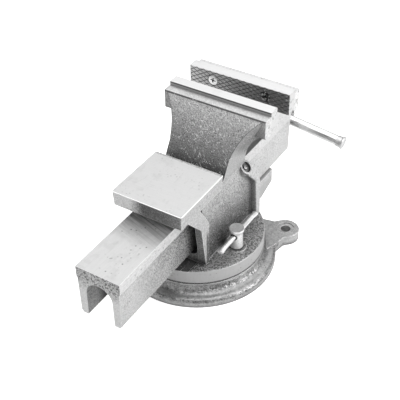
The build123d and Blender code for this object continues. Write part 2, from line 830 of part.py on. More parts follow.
with BuildPart() as spindle:
    with BuildSketch(Plane.XY.offset(screw_z)):
        with BuildLine():
            Polyline(
                (0, spindle_head_front_y),
                (spindle_head_r - spindle_dome_r, spindle_head_front_y),
            )
            TangentArc(
                (spindle_head_r - spindle_dome_r, spindle_head_front_y),
                (spindle_head_r, spindle_head_front_y + spindle_dome_r),
                tangent=(1, 0),
            )
            Polyline(
                (spindle_head_r, spindle_head_front_y + spindle_dome_r),
                (spindle_head_r, spindle_collar_y - spindle_neck_length),
                (spindle_neck_r, spindle_collar_y - spindle_neck_length),
                (spindle_neck_r, spindle_collar_y),
                (spindle_collar_r, spindle_collar_y),
                (spindle_collar_r, spindle_collar_y + spindle_collar_length),
                (shank_r, spindle_collar_y + spindle_collar_length),
                (shank_r, spindle_thread_y),
                (screw_r, spindle_thread_y),
                (screw_r, screw_tail_y - screw_tip_chamfer),
                (screw_r - screw_tip_chamfer, screw_tail_y),
                (0, screw_tail_y),
                (0, spindle_head_front_y),
            )
        make_face()
    revolve(axis=Axis((0, 0, screw_z), (0, 1, 0)))
    with BuildSketch(bar_plane):
        Circle(bar_r + running_clearance)
    extrude(amount=2 * spindle_head_r, both=True, mode=Mode.SUBTRACT)
    with BuildSketch(Plane.XY.offset(screw_z)):
        with Locations((0, pin_y)):
            Circle(pin_r + running_clearance)
    extrude(amount=2 * shank_r, both=True, mode=Mode.SUBTRACT)

spindle.part.label = "spindle"
export_step(spindle.part, "parts/spindle.step")

# Thrust washer between the collar of the screw and the boss of the moving jaw.
washer_clearance = 0.1

with BuildPart() as thrust_washer:
    with BuildSketch(Plane.XZ.offset(-(spindle_collar_y + spindle_collar_length))):
        with Locations((0, screw_z)):
            Circle(spindle_collar_r)
            Circle(shank_r + washer_clearance, mode=Mode.SUBTRACT)
    extrude(amount=-washer_length)

thrust_washer.part.label = "thrust_washer"
export_step(thrust_washer.part, "parts/thrust_washer.step")

# Retaining collar inside the channel, which draws the moving jaw open, and its pin.
collar_edge = 1.0

with BuildPart() as retaining_collar:
    with BuildSketch(Plane.XZ.offset(-collar_start_y)):
        with Locations((0, screw_z)):
            Circle(collar_r)
            Circle(shank_r + running_clearance, mode=Mode.SUBTRACT)
    extrude(amount=-collar_length)
    chamfer(edges().filter_by(GeomType.CIRCLE).group_by(SortBy.RADIUS)[-1], collar_edge)
    with BuildSketch(Plane.XY.offset(screw_z)):
        with Locations((0, pin_y)):
            Circle(pin_r + running_clearance)
    extrude(amount=collar_r, both=True, mode=Mode.SUBTRACT)

retaining_collar.part.label = "retaining_collar"
export_step(retaining_collar.part, "parts/retaining_collar.step")

with BuildPart() as collar_pin:
    with BuildSketch(Plane.XY.offset(screw_z)):
        with Locations((0, pin_y)):
            Circle(pin_r)
    extrude(amount=collar_r - collar_edge, both=True)

collar_pin.part.label = "collar_pin"
export_step(collar_pin.part, "parts/collar_pin.step")

# Main nut, which stands in the channel on the floor of the tunnel, its bolt and its washer.
nut_bolt_length = 30.0
nut_bolt_head_height = 7.5
nut_bolt_head_across = 18.0
nut_washer_r = 12.0
nut_washer_length = 2.5
nut_edge = 1.0
nut_seat_z = floor_z - nut_seat_depth
nut_bolt_top_z = recess_top_z + nut_bolt_length

with BuildPart() as main_nut:
    with BuildSketch(Plane.XZ.offset(-nut_front_y)):
        with BuildLine():
            Polyline(
                (-nut_half, screw_z),
                (-nut_half, nut_seat_z),
                (nut_half, nut_seat_z),
                (nut_half, screw_z),
            )
            ThreePointArc((nut_half, screw_z), (0, screw_z + nut_half), (-nut_half, screw_z))
        make_face()
        with Locations((0, screw_z)):
            Circle(screw_r + running_clearance, mode=Mode.SUBTRACT)
    extrude(amount=-nut_length)
    with BuildSketch(Plane.XY.offset(nut_seat_z)):
        with Locations((0, nut_middle_y)):
            Circle(nut_bolt_r + running_clearance)
    extrude(amount=nut_bolt_top_z + nut_edge - nut_seat_z, mode=Mode.SUBTRACT)
    chamfer(faces().filter_by(Axis.Y).edges().filter_by(Axis.Z), nut_edge)

main_nut.part.label = "main_nut"
export_step(main_nut.part, "parts/main_nut.step")

with BuildPart() as nut_washer:
    with BuildSketch(Plane.XY.offset(recess_top_z)):
        with Locations((0, nut_middle_y)):
            Circle(nut_washer_r)
            Circle(nut_bolt_r + bolt_clearance, mode=Mode.SUBTRACT)
    extrude(amount=-nut_washer_length)

nut_washer.part.label = "nut_washer"
export_step(nut_washer.part, "parts/nut_washer.step")

with BuildPart() as nut_bolt:
    with BuildSketch(Plane.XY.offset(recess_top_z - nut_washer_length)):
        with Locations((0, nut_middle_y)):
            RegularPolygon(nut_bolt_head_across / 2, 6, major_radius=False)
    extrude(amount=-nut_bolt_head_height)
    with BuildSketch(Plane.XY.offset(recess_top_z - nut_washer_length)):
        with Locations((0, nut_middle_y)):
            Circle(nut_bolt_r)
    extrude(amount=nut_bolt_top_z - recess_top_z + nut_washer_length)

nut_bolt.part.label = "nut_bolt"
export_step(nut_bolt.part, "parts/nut_bolt.step")

# Bar that turns the screw, with a flared cap riveted on each end.
cap_wall = 0.4
cap_neck_r = bar_r + cap_wall
cap_sleeve = 6.0
cap_rim = 2.4
cap_rim_edge = 0.6
cap_flare = 9.0
cap_edge_angle = 45.0

with BuildPart() as tommy_bar:
    with BuildSketch(bar_plane):
        Circle(bar_r)
    extrude(amount=bar_half, both=True)

tommy_bar.part.label = "tommy_bar"
export_step(tommy_bar.part, "parts/tommy_bar.step")


def bar_cap(side):
    """Cap on one end of the bar: a sleeve that flares out to a flat rim."""
    outwards = bar_plane.z_dir * side
    sleeve_plane = Plane(bar_plane.origin + outwards * (bar_half - cap_sleeve), x_dir=(0, 1, 0), z_dir=outwards)
    with BuildPart() as cap:
        with BuildSketch(sleeve_plane):
            Circle(cap_neck_r)
        extrude(amount=cap_sleeve, taper=-cap_flare)
        with BuildSketch(sleeve_plane.offset(cap_sleeve)):
            Circle(cap_r)
        extrude(amount=cap_rim - cap_rim_edge)
        with BuildSketch(sleeve_plane.offset(cap_sleeve + cap_rim - cap_rim_edge)):
            Circle(cap_r)
        extrude(amount=cap_rim_edge, taper=cap_edge_angle)
        with BuildSketch(sleeve_plane):
            Circle(bar_r + running_clearance)
        extrude(amount=cap_sleeve, mode=Mode.SUBTRACT)
    return cap


tommy_bar_cap_left = bar_cap(-1)
tommy_bar_cap_left.part.label = "tommy_bar_cap_left"
export_step(tommy_bar_cap_left.part, "parts/tommy_bar_cap_left.step")

tommy_bar_cap_right = bar_cap(1)
tommy_bar_cap_right.part.label = "tommy_bar_cap_right"
export_step(tommy_bar_cap_right.part, "parts/tommy_bar_cap_right.step")

# Swivel locks: a screw with a cross hole, its handle, and the shoe that it pulls up under the base.
lock_foot_z = table_top_z + lock_boss_height + running_clearance
lock_waist_step = 0.8
lock_root_step = 1.5
lock_waist_r = lock_shank_r + lock_waist_step
lock_root_r = lock_shank_r + lock_root_step
lock_waist_rise = 4.0
lock_flare_rise = 6.2
lock_edge = 0.8
lock_waist_z = handle_z + lock_waist_rise
lock_flare_z = handle_z + lock_flare_rise
lock_tip_z = 3.0
handle_swage_length = 6.0
handle_swage_width = 7.0
handle_swage_height = 3.8
handle_end_length = 2.5
shoe_lock_room = 7.5
shoe_rim_room = 3.0
shoe_bottom_z = 5.0
shoe_inner_r = lock_x - shoe_lock_room
shoe_outer_r = base_cavity_r - shoe_rim_room
shoe_top_z = base_flange_bottom_z - seat_clearance
shoe_half_angle = 14.0
shoe_corner_r = 3.0


def lock_screw(side):
    """Lock screw on one side: threaded shank, waisted head and flat flared top."""
    x = side * lock_x
    with BuildPart() as screw:
        with BuildSketch(Plane(origin=(x, lock_y, 0), x_dir=(1, 0, 0), z_dir=(0, -1, 0))):
            with BuildLine():
                Polyline(
                    (0, lock_tip_z),
                    (lock_shank_r - lock_edge, lock_tip_z),
                    (lock_shank_r, lock_tip_z + lock_edge),
                    (lock_shank_r, lock_foot_z),
                    (lock_root_r, lock_foot_z),
                    (lock_waist_r, lock_waist_z),
                    (lock_head_r, lock_flare_z),
                    (lock_head_r, lock_top_z - lock_edge),
                    (lock_head_r - lock_edge, lock_top_z),
                    (0, lock_top_z),
                    close=True,
                )
            make_face()
        revolve(axis=Axis((x, lock_y, 0), (0, 0, 1)))
        with BuildSketch(Plane.XZ):
            with Locations((x, handle_z)):
                Circle(handle_r + running_clearance)
        extrude(amount=lock_x, both=True, mode=Mode.SUBTRACT)
    return screw


def lock_handle(side):
    """Rod through a lock screw, its ends swaged flat so that it can't slide out."""
    with BuildPart() as rod:
        for end in (-1, 1):
            rod_centre = (side * lock_x, lock_y - handle_shift, handle_z)
            rod_plane = Plane(origin=rod_centre, x_dir=(1, 0, 0), z_dir=(0, end, 0))
            straight = handle_half - handle_swage_length - handle_end_length
            with BuildSketch(rod_plane):
                Circle(handle_r)
            extrude(amount=straight)
            with BuildSketch(rod_plane.offset(straight)):
                Circle(handle_r)
            with BuildSketch(rod_plane.offset(straight + handle_swage_length)):
                Ellipse(handle_swage_width / 2, handle_swage_height / 2)
            loft()
            with BuildSketch(rod_plane.offset(straight + handle_swage_length)):
                Ellipse(handle_swage_width / 2, handle_swage_height / 2)
            extrude(amount=handle_end_length)
    return rod


def clamp_shoe(side):
    """Segment under the base's flange, threaded for the lock screw."""
    middle_angle = degrees(atan2(lock_y, side * lock_x))
    with BuildPart() as shoe:
        with BuildSketch(Plane.XY.offset(shoe_bottom_z)):
            with BuildLine():
                inner = CenterArc((0, 0), shoe_inner_r, middle_angle - shoe_half_angle, 2 * shoe_half_angle)
                outer = CenterArc((0, 0), shoe_outer_r, middle_angle - shoe_half_angle, 2 * shoe_half_angle)
                Line(inner @ 0, outer @ 0)
                Line(inner @ 1, outer @ 1)
            make_face()
            fillet(vertices(), shoe_corner_r)
            with Locations((side * lock_x, lock_y)):
                Circle(lock_shank_r + bolt_clearance, mode=Mode.SUBTRACT)
        extrude(amount=shoe_top_z - shoe_bottom_z)
    return shoe


lock_screw_left = lock_screw(-1)
lock_screw_left.part.label = "lock_screw_left"
export_step(lock_screw_left.part, "parts/lock_screw_left.step")

lock_screw_right = lock_screw(1)
lock_screw_right.part.label = "lock_screw_right"
export_step(lock_screw_right.part, "parts/lock_screw_right.step")

lock_handle_left = lock_handle(-1)
lock_handle_left.part.label = "lock_handle_left"
export_step(lock_handle_left.part, "parts/lock_handle_left.step")

lock_handle_right = lock_handle(1)
lock_handle_right.part.label = "lock_handle_right"
export_step(lock_handle_right.part, "parts/lock_handle_right.step")

clamp_shoe_left = clamp_shoe(-1)
clamp_shoe_left.part.label = "clamp_shoe_left"
export_step(clamp_shoe_left.part, "parts/clamp_shoe_left.step")

clamp_shoe_right = clamp_shoe(1)
clamp_shoe_right.part.label = "clamp_shoe_right"
export_step(clamp_shoe_right.part, "parts/clamp_shoe_right.step")

# Guide screws, slanted set screws that bear on the slide's upper edges.
guide_top = -0.4
guide_length = 16.0
guide_edge = 0.6


def guide_screw(side):
    """Set screw in the slanted bore on one side of the body."""
    axis_plane = Plane(
        origin=(side * guide_point[0], guide_point[1], guide_point[2]), x_dir=(0, 1, 0), z_dir=(side, 0, 1)
    )
    with BuildPart() as screw:
        with BuildSketch(axis_plane.offset(guide_top)):
            Circle(guide_screw_r)
        extrude(amount=-guide_length)
        chamfer(edges().filter_by(GeomType.CIRCLE), guide_edge)
    return screw


guide_screw_left = guide_screw(-1)
guide_screw_left.part.label = "guide_screw_left"
export_step(guide_screw_left.part, "parts/guide_screw_left.step")

guide_screw_right = guide_screw(1)
guide_screw_right.part.label = "guide_screw_right"
export_step(guide_screw_right.part, "parts/guide_screw_right.step")
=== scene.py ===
import json
from math import cos, pi, radians, sin

import bmesh
import bpy
from mathutils import Matrix, Vector


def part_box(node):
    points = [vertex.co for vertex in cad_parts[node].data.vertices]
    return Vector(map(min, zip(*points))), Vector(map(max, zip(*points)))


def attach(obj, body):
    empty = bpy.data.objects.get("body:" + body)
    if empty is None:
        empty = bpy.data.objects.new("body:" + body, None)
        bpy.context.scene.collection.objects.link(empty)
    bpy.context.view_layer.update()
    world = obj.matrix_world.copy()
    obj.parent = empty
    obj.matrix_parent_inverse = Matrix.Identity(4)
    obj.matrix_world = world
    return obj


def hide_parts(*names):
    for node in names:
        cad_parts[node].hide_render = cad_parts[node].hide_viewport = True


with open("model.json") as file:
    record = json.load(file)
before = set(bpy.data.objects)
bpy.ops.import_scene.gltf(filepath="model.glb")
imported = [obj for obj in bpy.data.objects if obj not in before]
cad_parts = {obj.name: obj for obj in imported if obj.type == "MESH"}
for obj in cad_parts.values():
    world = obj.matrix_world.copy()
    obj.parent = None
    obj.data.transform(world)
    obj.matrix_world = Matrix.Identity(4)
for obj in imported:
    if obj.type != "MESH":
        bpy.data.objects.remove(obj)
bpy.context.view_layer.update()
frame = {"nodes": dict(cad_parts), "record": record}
nodes = frame["nodes"]
mm = 0.001

# Camera, at the photograph's viewing angle. Its offsets are from the frame's origin, along its own axes.
view_azimuth = radians(212.09)
view_elevation = radians(38.76)
view_roll = radians(-0.63)
view_right = 2.52 * mm
view_up = 59.87 * mm
view_distance = 1023.7 * mm
view_lens = 79.88
view_sensor = 36.0

# Lamps: name, place, size in metres, power in watts. Each one aims at the middle of the vise.
aim = Vector((0, 0, 90 * mm))
lamps = (
    ("overhead_softbox", (0.15, -0.1, 1.6), 2.8, 30.0),
    ("side_softbox", (-1.5, -0.35, 0.75), 1.0, 17.0),
    ("front_fill", (0.9, 1.5, 0.8), 1.2, 3.0),
)

# Stage: a white world, darker low down where gloss mirrors it, and a white floor. A strength of 1 is white.
world_heights = (-0.2, 0.9)
world_mirrored = (0.28, 0.76)
world_light = 0.34
floor_half = 4.0
floor_drop = 0.1 * mm
floor_paper = 0.85
floor_seen = 0.72
floor_mirrored = 0.25

# Gripping plates: lozenges of a cross-cut face, and a ground edge at the top.
lozenge_half_length = 4.3 * mm
lozenge_half_height = 2.5 * mm
lozenge_top_share = 0.8
groove_depth = 0.45 * mm
plate_edge = 0.8 * mm

# Plate screws: countersunk, cross-recessed, each turned its own way.
screw_x = 33 * mm
screw_rise = 1 * mm
screw_r = 3 * mm
screw_root_r = 2.45 * mm
screw_lead = 1 * mm
screw_length = 21.5 * mm
screw_thread_start = 9 * mm
head_r = 5.85 * mm
head_edge = 0.4 * mm
head_sink = 0.4 * mm
head_gap = 0.1 * mm
cone_top = head_sink + head_gap
cone_foot = cone_top + head_r - screw_r
sink_gap = 0.5 * mm
hole_span = (-2 * mm, 15 * mm)
recess_reach = 3.7 * mm
recess_width = 1.5 * mm
recess_depth = 2.6 * mm
recess_lip = 0.6 * mm
recess_scales = (1.1, 0.4)
screw_turns = {("vise_body", -1): 0.3, ("vise_body", 1): 1.0, ("moving_jaw", -1): 0.22, ("moving_jaw", 1): 0.12}

# Main screw, from the front end of its head. Profiles are (radius, distance) points in millimetres.
screw_axis_z = 78 * mm
dome_flat_r = 9.5 * mm
dome_round = 5 * mm
dome_steps = 8
collar_profile = ((14.5, -9), (14, -8.5), (11.5, -8.5), (11.5, -5), (16.5, -5), (17, -4.5), (17, 0))
shank_r = 10 * mm
shank_end = 73.3 * mm
shank_edge = 0.6 * mm
thread_r = 9.5 * mm
thread_root_r = 7.4 * mm
thread_lead = 5 * mm
thread_end = 1.5 * mm
tip_length = 3 * mm
tip_root_r = 7.2 * mm
tip_r = 6 * mm
cross_hole_length = 40 * mm
pin_y = -145.2 * mm
pin_hole_r = 2.05 * mm

# Turning bar and its caps.
bar_tilt = radians(7.2)
bar_along = Vector((cos(bar_tilt), 0, sin(bar_tilt)))
bar_middle = Vector((0, -195 * mm, screw_axis_z))
bar_r = 6.3 * mm
bar_hole_r = 6.5 * mm
bar_half = 86 * mm
bar_edge = 0.5 * mm
cap_length = 8.6 * mm
cap_overhang = 2.4 * mm
cap_fit = 0.05 * mm
cap_sleeve_profile = ((6.75, 0), (6.9, 0.3), (6.9, 5.2), (7.25, 6.1))
cap_rim_r = 8.3 * mm
cap_rim_round = 1.1 * mm
cap_rim_turns = range(-70, 131, 25)
cap_end_profile = ((5.7, 7.85), (0, 8))
cap_floor = 6.25 * mm

# Swivel locks. The foot's profile starts at the foot, the head's at the top, and the rod hole's in its middle.
lock_x = 54.5 * mm
lock_y = 7 * mm
lock_tip_z = 3 * mm
lock_foot_z = 40.5 * mm
lock_top_z = 66 * mm
lock_thread_r = 5.95 * mm
lock_root_r = 5 * mm
lock_lead = 1.75 * mm
lock_thread_start = 0.8 * mm
lock_thread_end = 3.5 * mm
lock_tip_profile = ((0, 0), (4.3, 0), (4.9, 1.2), (0, 1.2))
lock_foot_profile = ((0, -4), (5.9, -4), (5.9, 0), (7, 0), (7.5, 0.5), (7.4, 4))
lock_head_profile = ((8.2, -1.9), (8.2, -0.6), (8.05, -0.15), (7.7, 0), (7.2, -0.12), (0, -0.2))
flare_steps = 4
flare_r = (6.75 * mm, 8.1 * mm)
flare_start = 2.2 * mm
flare_length = 4 * mm
handle_z = 57 * mm
rod_hole_profile = ((0, -10), (5, -10), (5, -8.2), (3.5, -6.7), (3.5, 6.7), (5, 8.2), (5, 10), (0, 10))

# Guide screws: slanted, with a domed and slotted end.
guide_r = 2.5 * mm
guide_thread_r = 2.48 * mm
guide_root_r = 2.05 * mm
guide_lead = 0.8 * mm
guide_thread = (4 * mm, 15.9 * mm)
guide_place = (40.5 * mm, -36.5 * mm, 114.5 * mm)
guide_top = -0.4 * mm
guide_head = 5 * mm
guide_dome = 1.1 * mm
guide_dome_steps = 6
guide_slot = 0.7 * mm
guide_slot_half = 4 * mm
guide_slot_depth = 1 * mm
guide_slot_along = (0, 1, 0.35)

# Threads: the shares of the lead where root and crest start and end, and how far one reaches into its shank.
thread_shares = (0.0, 0.366, 0.5, 0.866)
thread_overlap = 1 * mm

# Meshes: how near points are that count as one, and the angle from which an edge is shown sharp.
weld = 0.001 * mm
sharp_angle = radians(30)

# Limits of the body casting's differently finished places, and of its places of painted light and shade. Those in x
# count to both sides, but for the tail's.
# Of two limits, a place starts at the first, and ends or is in full at the second.
head_end_x = 62 * mm
body_head_y = -35 * mm
body_head_z = 157.5 * mm
jaw_rear_y = 12 * mm
jaw_rear_z = 118 * mm
jaw_fall_z = (174 * mm, 124 * mm)
jaw_top_line = 1.5 * mm
web_x = 61 * mm
web_z = 119 * mm
anvil_drop = 43.6 * mm
anvil_edge_drop = 1.5 * mm
anvil_edge_y = 14 * mm
anvil_root_y = 16.5 * mm
anvil_tail_y = 93.5 * mm
tail_dark_x = 12 * mm
tail_fall_x = (8 * mm, -40 * mm)
wall_x = 40.2 * mm
wall_y = -60 * mm
wall_z = 122 * mm
wall_fall_z = (112 * mm, 52 * mm)
nose_x = 27.2 * mm
nose_y = -66 * mm
nose_z = 48 * mm
pilaster_x = 38.5 * mm
pilaster_y = -36 * mm
pilaster_z = 118 * mm
rib_x = 26 * mm
rib_y = (40 * mm, 62 * mm)
rib_z = 104 * mm
rib_side_x = 40.4 * mm
rib_side_y = (40 * mm, 48 * mm)
rib_side_z = 80 * mm
table_z = 41 * mm
patch_x = 33 * mm
patch_y = 50 * mm
rim_r = 75.2 * mm
rim_z = 39.6 * mm
rim_foot_z = 23.6 * mm

# The same for the moving jaw's casting.
slide_head_y = -100 * mm
slide_head_z = 154 * mm
band_z = (94.6 * mm, 140 * mm)
smooth_rear_y = (60 * mm, 150 * mm)
smooth_front_y = (-20 * mm, -60 * mm)
neck_y = -60 * mm
neck_top_y = -58 * mm
tail_y = 177 * mm
tail_arch_z = (80 * mm, 97 * mm)
swirl_rear_y = (124 * mm, 84 * mm)
swirl_front_y = (30 * mm, 70 * mm)
channel_x = 16.3 * mm
channel_y = -149 * mm
channel_z = 94 * mm
channel_fall_y = (164 * mm, 152 * mm)

# The same for the base, for the gripping plates, measured from the middle between them, and for the locks.
lip_r = 76.5 * mm
lip_z = 19.2 * mm
skirt_r = 93 * mm
skirt_z = 5.5 * mm
jaws_middle_y = -74 * mm
jaws_half_gap = 14 * mm
face_fall_x = (66 * mm, -34 * mm)
face_top_z = 184.1 * mm
plate_behind = 12.6 * mm
plate_back = 12.8 * mm
plate_back_z = 182.8 * mm
lock_head_z = 65.5 * mm
lock_foot_shadow_z = 41.6 * mm
rod_oil_and_shade_r = 4 * mm

# Greys of the castings: the dark grain, the light grain, and how softly one turns into the other.
# In body_tones, wall_low and rib_side are painted shade, patch a painted shadow, and tail_dark and tail_mid a
# painted reflection.
body_tones = {
    "front": (0.2, 0.46, 0.14),
    "side": (0.38, 0.6, 0.16),
    "nose": (0.42, 0.6, 0.16),
    "wall_high": (0.26, 0.54, 0.12),
    "wall_low": (0.03, 0.2, 0.12),
    "pilaster": (0.3, 0.56, 0.14),
    "rib": (0.12, 0.32, 0.14),
    "rib_side": (0.06, 0.24, 0.14),
    "table": (0.1, 0.4, 0.1),
    "patch": (0.08, 0.13, 0.1),
    "tail_light": (0.52, 0.66, 0.1),
    "tail_dark": (0.07, 0.17, 0.1),
    "tail_mid": (0.14, 0.28, 0.1),
    "head_top": (0.5, 0.7, 0.16),
    "head_end": (0.54, 0.76, 0.1),
}
jaw_rear_tones = {
    # high and low: the jaw's rear at its top and towards its foot, where painted shade darkens it.
    "high": (0.17, 0.52, 0.16),
    "low": (0.03, 0.11, 0.16),
}
slide_tones = {
    "front": (0.3, 0.52, 0.15),
    "side_rough": (0.08, 0.48, 0.1),
    "side_smooth": (0.38, 0.6, 0.16),
    "neck": (0.44, 0.68, 0.18),
    "tail_leg": (0.5, 0.68, 0.2),
    "tail_arch": (0.2, 0.56, 0.12),
    # channel: painted shade inside the slide's channel.
    "channel": (0.2, 0.4, 0.1),
    "head_top": (0.58, 0.76, 0.16),
    "head_end": (0.6, 0.84, 0.1),
}
base_tones = {
    # steep and flat: painted shade and painted light on the same casting; skirt: painted bounce light around the
    # foot.
    "steep": (0.13, 0.38, 0.1),
    "flat": (0.27, 0.46, 0.14),
    "skirt": (0.34, 0.6, 0.2),
}
pit_tone = 0.06

# Painted shade in corners: how open one is where the shade is in full and where it ends, its full share and its
# grey.
corner_shade_open = (0.3, 0.88)
corner_shade_full = 0.9
corner_shade_tone = 0.02

# Edges: how far a casting's are rounded, and how straight a rounded normal is where one starts and is in full.
casting_edge = 1.15 * mm
edge_bend = (0.99, 0.88)


def make_camera():
    """The camera, turned to the photograph's azimuth, elevation and roll."""
    back = Vector(
        (
            sin(view_azimuth) * cos(view_elevation),
            -cos(view_azimuth) * cos(view_elevation),
            sin(view_elevation),
        )
    )
    level_right = Vector((cos(view_azimuth), sin(view_azimuth), 0))
    level_up = back.cross(level_right)
    right = level_right * cos(view_roll) + level_up * sin(view_roll)
    up = level_up * cos(view_roll) - level_right * sin(view_roll)
    place = right * view_right + up * view_up + back * view_distance
    data = bpy.data.cameras.new("camera")
    data.lens = view_lens
    data.sensor_width = view_sensor
    camera = bpy.data.objects.new("camera", data)
    camera.matrix_world = Matrix.Translation(place) @ Matrix((right, up, back)).transposed().to_4x4()
    bpy.context.scene.collection.objects.link(camera)
    bpy.context.scene.camera = camera


def make_lamps():
    """Square softboxes that all face the vise."""
    for name, place, size, power in lamps:
        data = bpy.data.lights.new(name, "AREA")
        data.shape = "SQUARE"
        data.size = size
        data.energy = power
        lamp = bpy.data.objects.new(name, data)
        lamp.location = place
        lamp.rotation_euler = (aim - Vector(place)).to_track_quat("-Z", "Y").to_euler()
        bpy.context.scene.collection.objects.link(lamp)


def grey(value):
    """A plain number as a grey colour. Sockets and colours pass through."""
    return (value, value, value, 1.0) if isinstance(value, (int, float)) else value


class Graph:
    """A node tree, with one short call for each kind of node."""

    def __init__(self, tree):
        self.tree = tree
        self.tree.nodes.clear()

    def node(self, kind, **settings):
        made = self.tree.nodes.new(kind)
        for name, value in settings.items():
            setattr(made, name, value)
        return made

    def feed(self, socket, value):
        """Links a socket, or sets a plain value."""
        if isinstance(value, bpy.types.NodeSocket):
            self.tree.links.new(value, socket)
        else:
            socket.default_value = value

    def math(self, operation, first, second=0.0):
        made = self.node("ShaderNodeMath", operation=operation)
        self.feed(made.inputs[0], first)
        self.feed(made.inputs[1], second)
        return made.outputs[0]

    def remap(self, value, low, high, to_low=0.0, to_high=1.0):
        """Maps low to high onto to_low to to_high, and stays within them."""
        made = self.node("ShaderNodeMapRange")
        for socket, given in zip(made.inputs, (value, low, high, to_low, to_high)):
            self.feed(socket, given)
        return made.outputs[0]

    def noise(self, place, scale, detail=2.0, roughness=0.5, distortion=0.0):
        made = self.node("ShaderNodeTexNoise")
        self.feed(made.inputs["Vector"], place)
        self.feed(made.inputs["Scale"], scale)
        self.feed(made.inputs["Detail"], detail)
        self.feed(made.inputs["Roughness"], roughness)
        self.feed(made.inputs["Distortion"], distortion)
        return made.outputs["Fac"]

    def cells(self, place, scale):
        """Distance to the nearest of scattered points, 0 at a point."""
        made = self.node("ShaderNodeTexVoronoi")
        self.feed(made.inputs["Vector"], place)
        self.feed(made.inputs["Scale"], scale)
        return made.outputs["Distance"]

    def stretch(self, place, scales):
        made = self.node("ShaderNodeMapping")
        self.feed(made.inputs["Vector"], place)
        made.inputs["Scale"].default_value = scales
        return made.outputs[0]

    def turned(self, place, angle, axis="Y_AXIS"):
        """A place turned about an axis."""
        made = self.node("ShaderNodeVectorRotate", rotation_type=axis)
        self.feed(made.inputs["Vector"], place)
        made.inputs["Angle"].default_value = angle
        return made.outputs[0]

    def mix(self, share, first, second):
        """Colour or grey between first and second."""
        made = self.node("ShaderNodeMix", data_type="RGBA")
        self.feed(made.inputs["Factor"], share)
        self.feed(made.inputs["A"], grey(first))
        self.feed(made.inputs["B"], grey(second))
        return made.outputs["Result"]

    def split(self, vector):
        made = self.node("ShaderNodeSeparateXYZ")
        self.feed(made.inputs[0], vector)
        return made.outputs

    def above(self, value, limit, soft=0.2 * mm):
        """1 above a limit, 0 below it."""
        return self.remap(value, limit - soft, limit + soft)

    def below(self, value, limit, soft=0.2 * mm):
        """1 below a limit, 0 above it."""
        return self.remap(value, limit + soft, limit - soft)

    def both(self, *masks):
        """1 where all masks are."""
        result = masks[0]
        for mask in masks[1:]:
            result = self.math("MULTIPLY", result, mask)
        return result

    def either(self, *masks):
        """1 where any of the masks is."""
        result = masks[0]
        for mask in masks[1:]:
            result = self.math("MAXIMUM", result, mask)
        return result

    def outside(self, mask):
        """1 where a mask is 0."""
        return self.math("SUBTRACT", 1, mask)

    def faded(self, mask, share):
        """A mask at a share of its strength."""
        return self.math("MULTIPLY", mask, share)

    def size(self, value):
        """A value without its sign."""
        return self.math("ABSOLUTE", value)

    def distance(self, first, second):
        """How far a point is from where both values are 0."""
        squares = [self.math("MULTIPLY", value, value) for value in (first, second)]
        return self.math("SQRT", self.math("ADD", *squares))

    def ragged(self, value, noise, reach):
        """A value moved to and fro by a noise around a half."""
        return self.math("ADD", value, self.faded(self.math("SUBTRACT", noise, 0.5), reach))


class Surface(Graph):
    """A material for one of the vise's pieces, with its places and directions in the piece's own frame."""

    def __init__(self, name, edge_radius=0.8 * mm):
        self.material = bpy.data.materials.new(name)
        self.material.use_nodes = True
        super().__init__(self.material.node_tree)
        self.shader = self.node("ShaderNodeBsdfPrincipled")
        output = self.node("ShaderNodeOutputMaterial")
        self.tree.links.new(self.shader.outputs[0], output.inputs[0])
        here = self.node("ShaderNodeTexCoord")
        self.place = here.outputs["Object"]
        self.x, self.y, self.z = self.split(self.place)
        self.facing_x, self.facing_y, self.facing_z = self.split(here.outputs["Normal"])
        self.rounded, self.edge = self.bend(edge_radius)

    def bend(self, radius):
        """A normal rounded over the edges, and how much it is bent, 1 on an edge."""
        rounded = self.node("ShaderNodeBevel", samples=6)
        rounded.inputs["Radius"].default_value = radius
        across = self.node("ShaderNodeVectorMath", operation="DOT_PRODUCT")
        self.feed(across.inputs[0], rounded.outputs[0])
        self.feed(across.inputs[1], self.node("ShaderNodeNewGeometry").outputs["Normal"])
        return rounded.outputs[0], self.remap(across.outputs["Value"], *edge_bend)

    def streaks(self, scales, detail=2.0, roughness=0.5, distortion=0.0, place=None):
        """Noise with a scale of its own along each axis."""
        where = self.place if place is None else place
        return self.noise(self.stretch(where, scales), 1.0, detail, roughness, distortion)

    def shade_corners(self, color, reach=9 * mm):
        """Painted shade: darker in corners and crevices."""
        open_share = self.node("ShaderNodeAmbientOcclusion", samples=8)
        open_share.inputs["Distance"].default_value = reach
        share = self.remap(open_share.outputs["AO"], *corner_shade_open, corner_shade_full, 0)
        return self.mix(share, color, corner_shade_tone)

    def finish(self, color, metallic, roughness, height, strength, depth):
        """Sets the shader, with a height bumped onto the rounded normal."""
        bump = self.node("ShaderNodeBump")
        self.feed(bump.inputs["Height"], height)
        self.feed(bump.inputs["Strength"], strength)
        self.feed(bump.inputs["Distance"], depth)
        self.feed(bump.inputs["Normal"], self.rounded)
        self.feed(self.shader.inputs["Base Color"], color)
        self.feed(self.shader.inputs["Metallic"], metallic)
        self.feed(self.shader.inputs["Roughness"], roughness)
        self.feed(self.shader.inputs["Normal"], bump.outputs[0])
        return self.material


class Casting(Surface):
    """A cast surface with its grain and tones, and masks for its sides and its level tops."""

    def __init__(self, name, table):
        super().__init__(name, casting_edge)
        self.wide = self.size(self.x)
        self.side = self.above(self.size(self.facing_x), 0.6, 0.1)
        self.top = self.above(self.facing_z, 0.97, 0.01)
        self.grain = grains(self)
        self.tone = tones(self, self.grain, table)


def grains(s):
    """Sand-cast grain of a millimetre or two over wider clouds."""
    return s.ragged(s.noise(s.place, 620, 2, 0.6), s.noise(s.place, 34, 2, 0.5), 0.25)


def tones(s, grain, table):
    """Mottled greys from a table of tones."""
    return {
        name: s.mix(s.remap(grain, 0.5 - contrast, 0.5 + contrast), dark, light)
        for name, (dark, light, contrast) in table.items()
    }


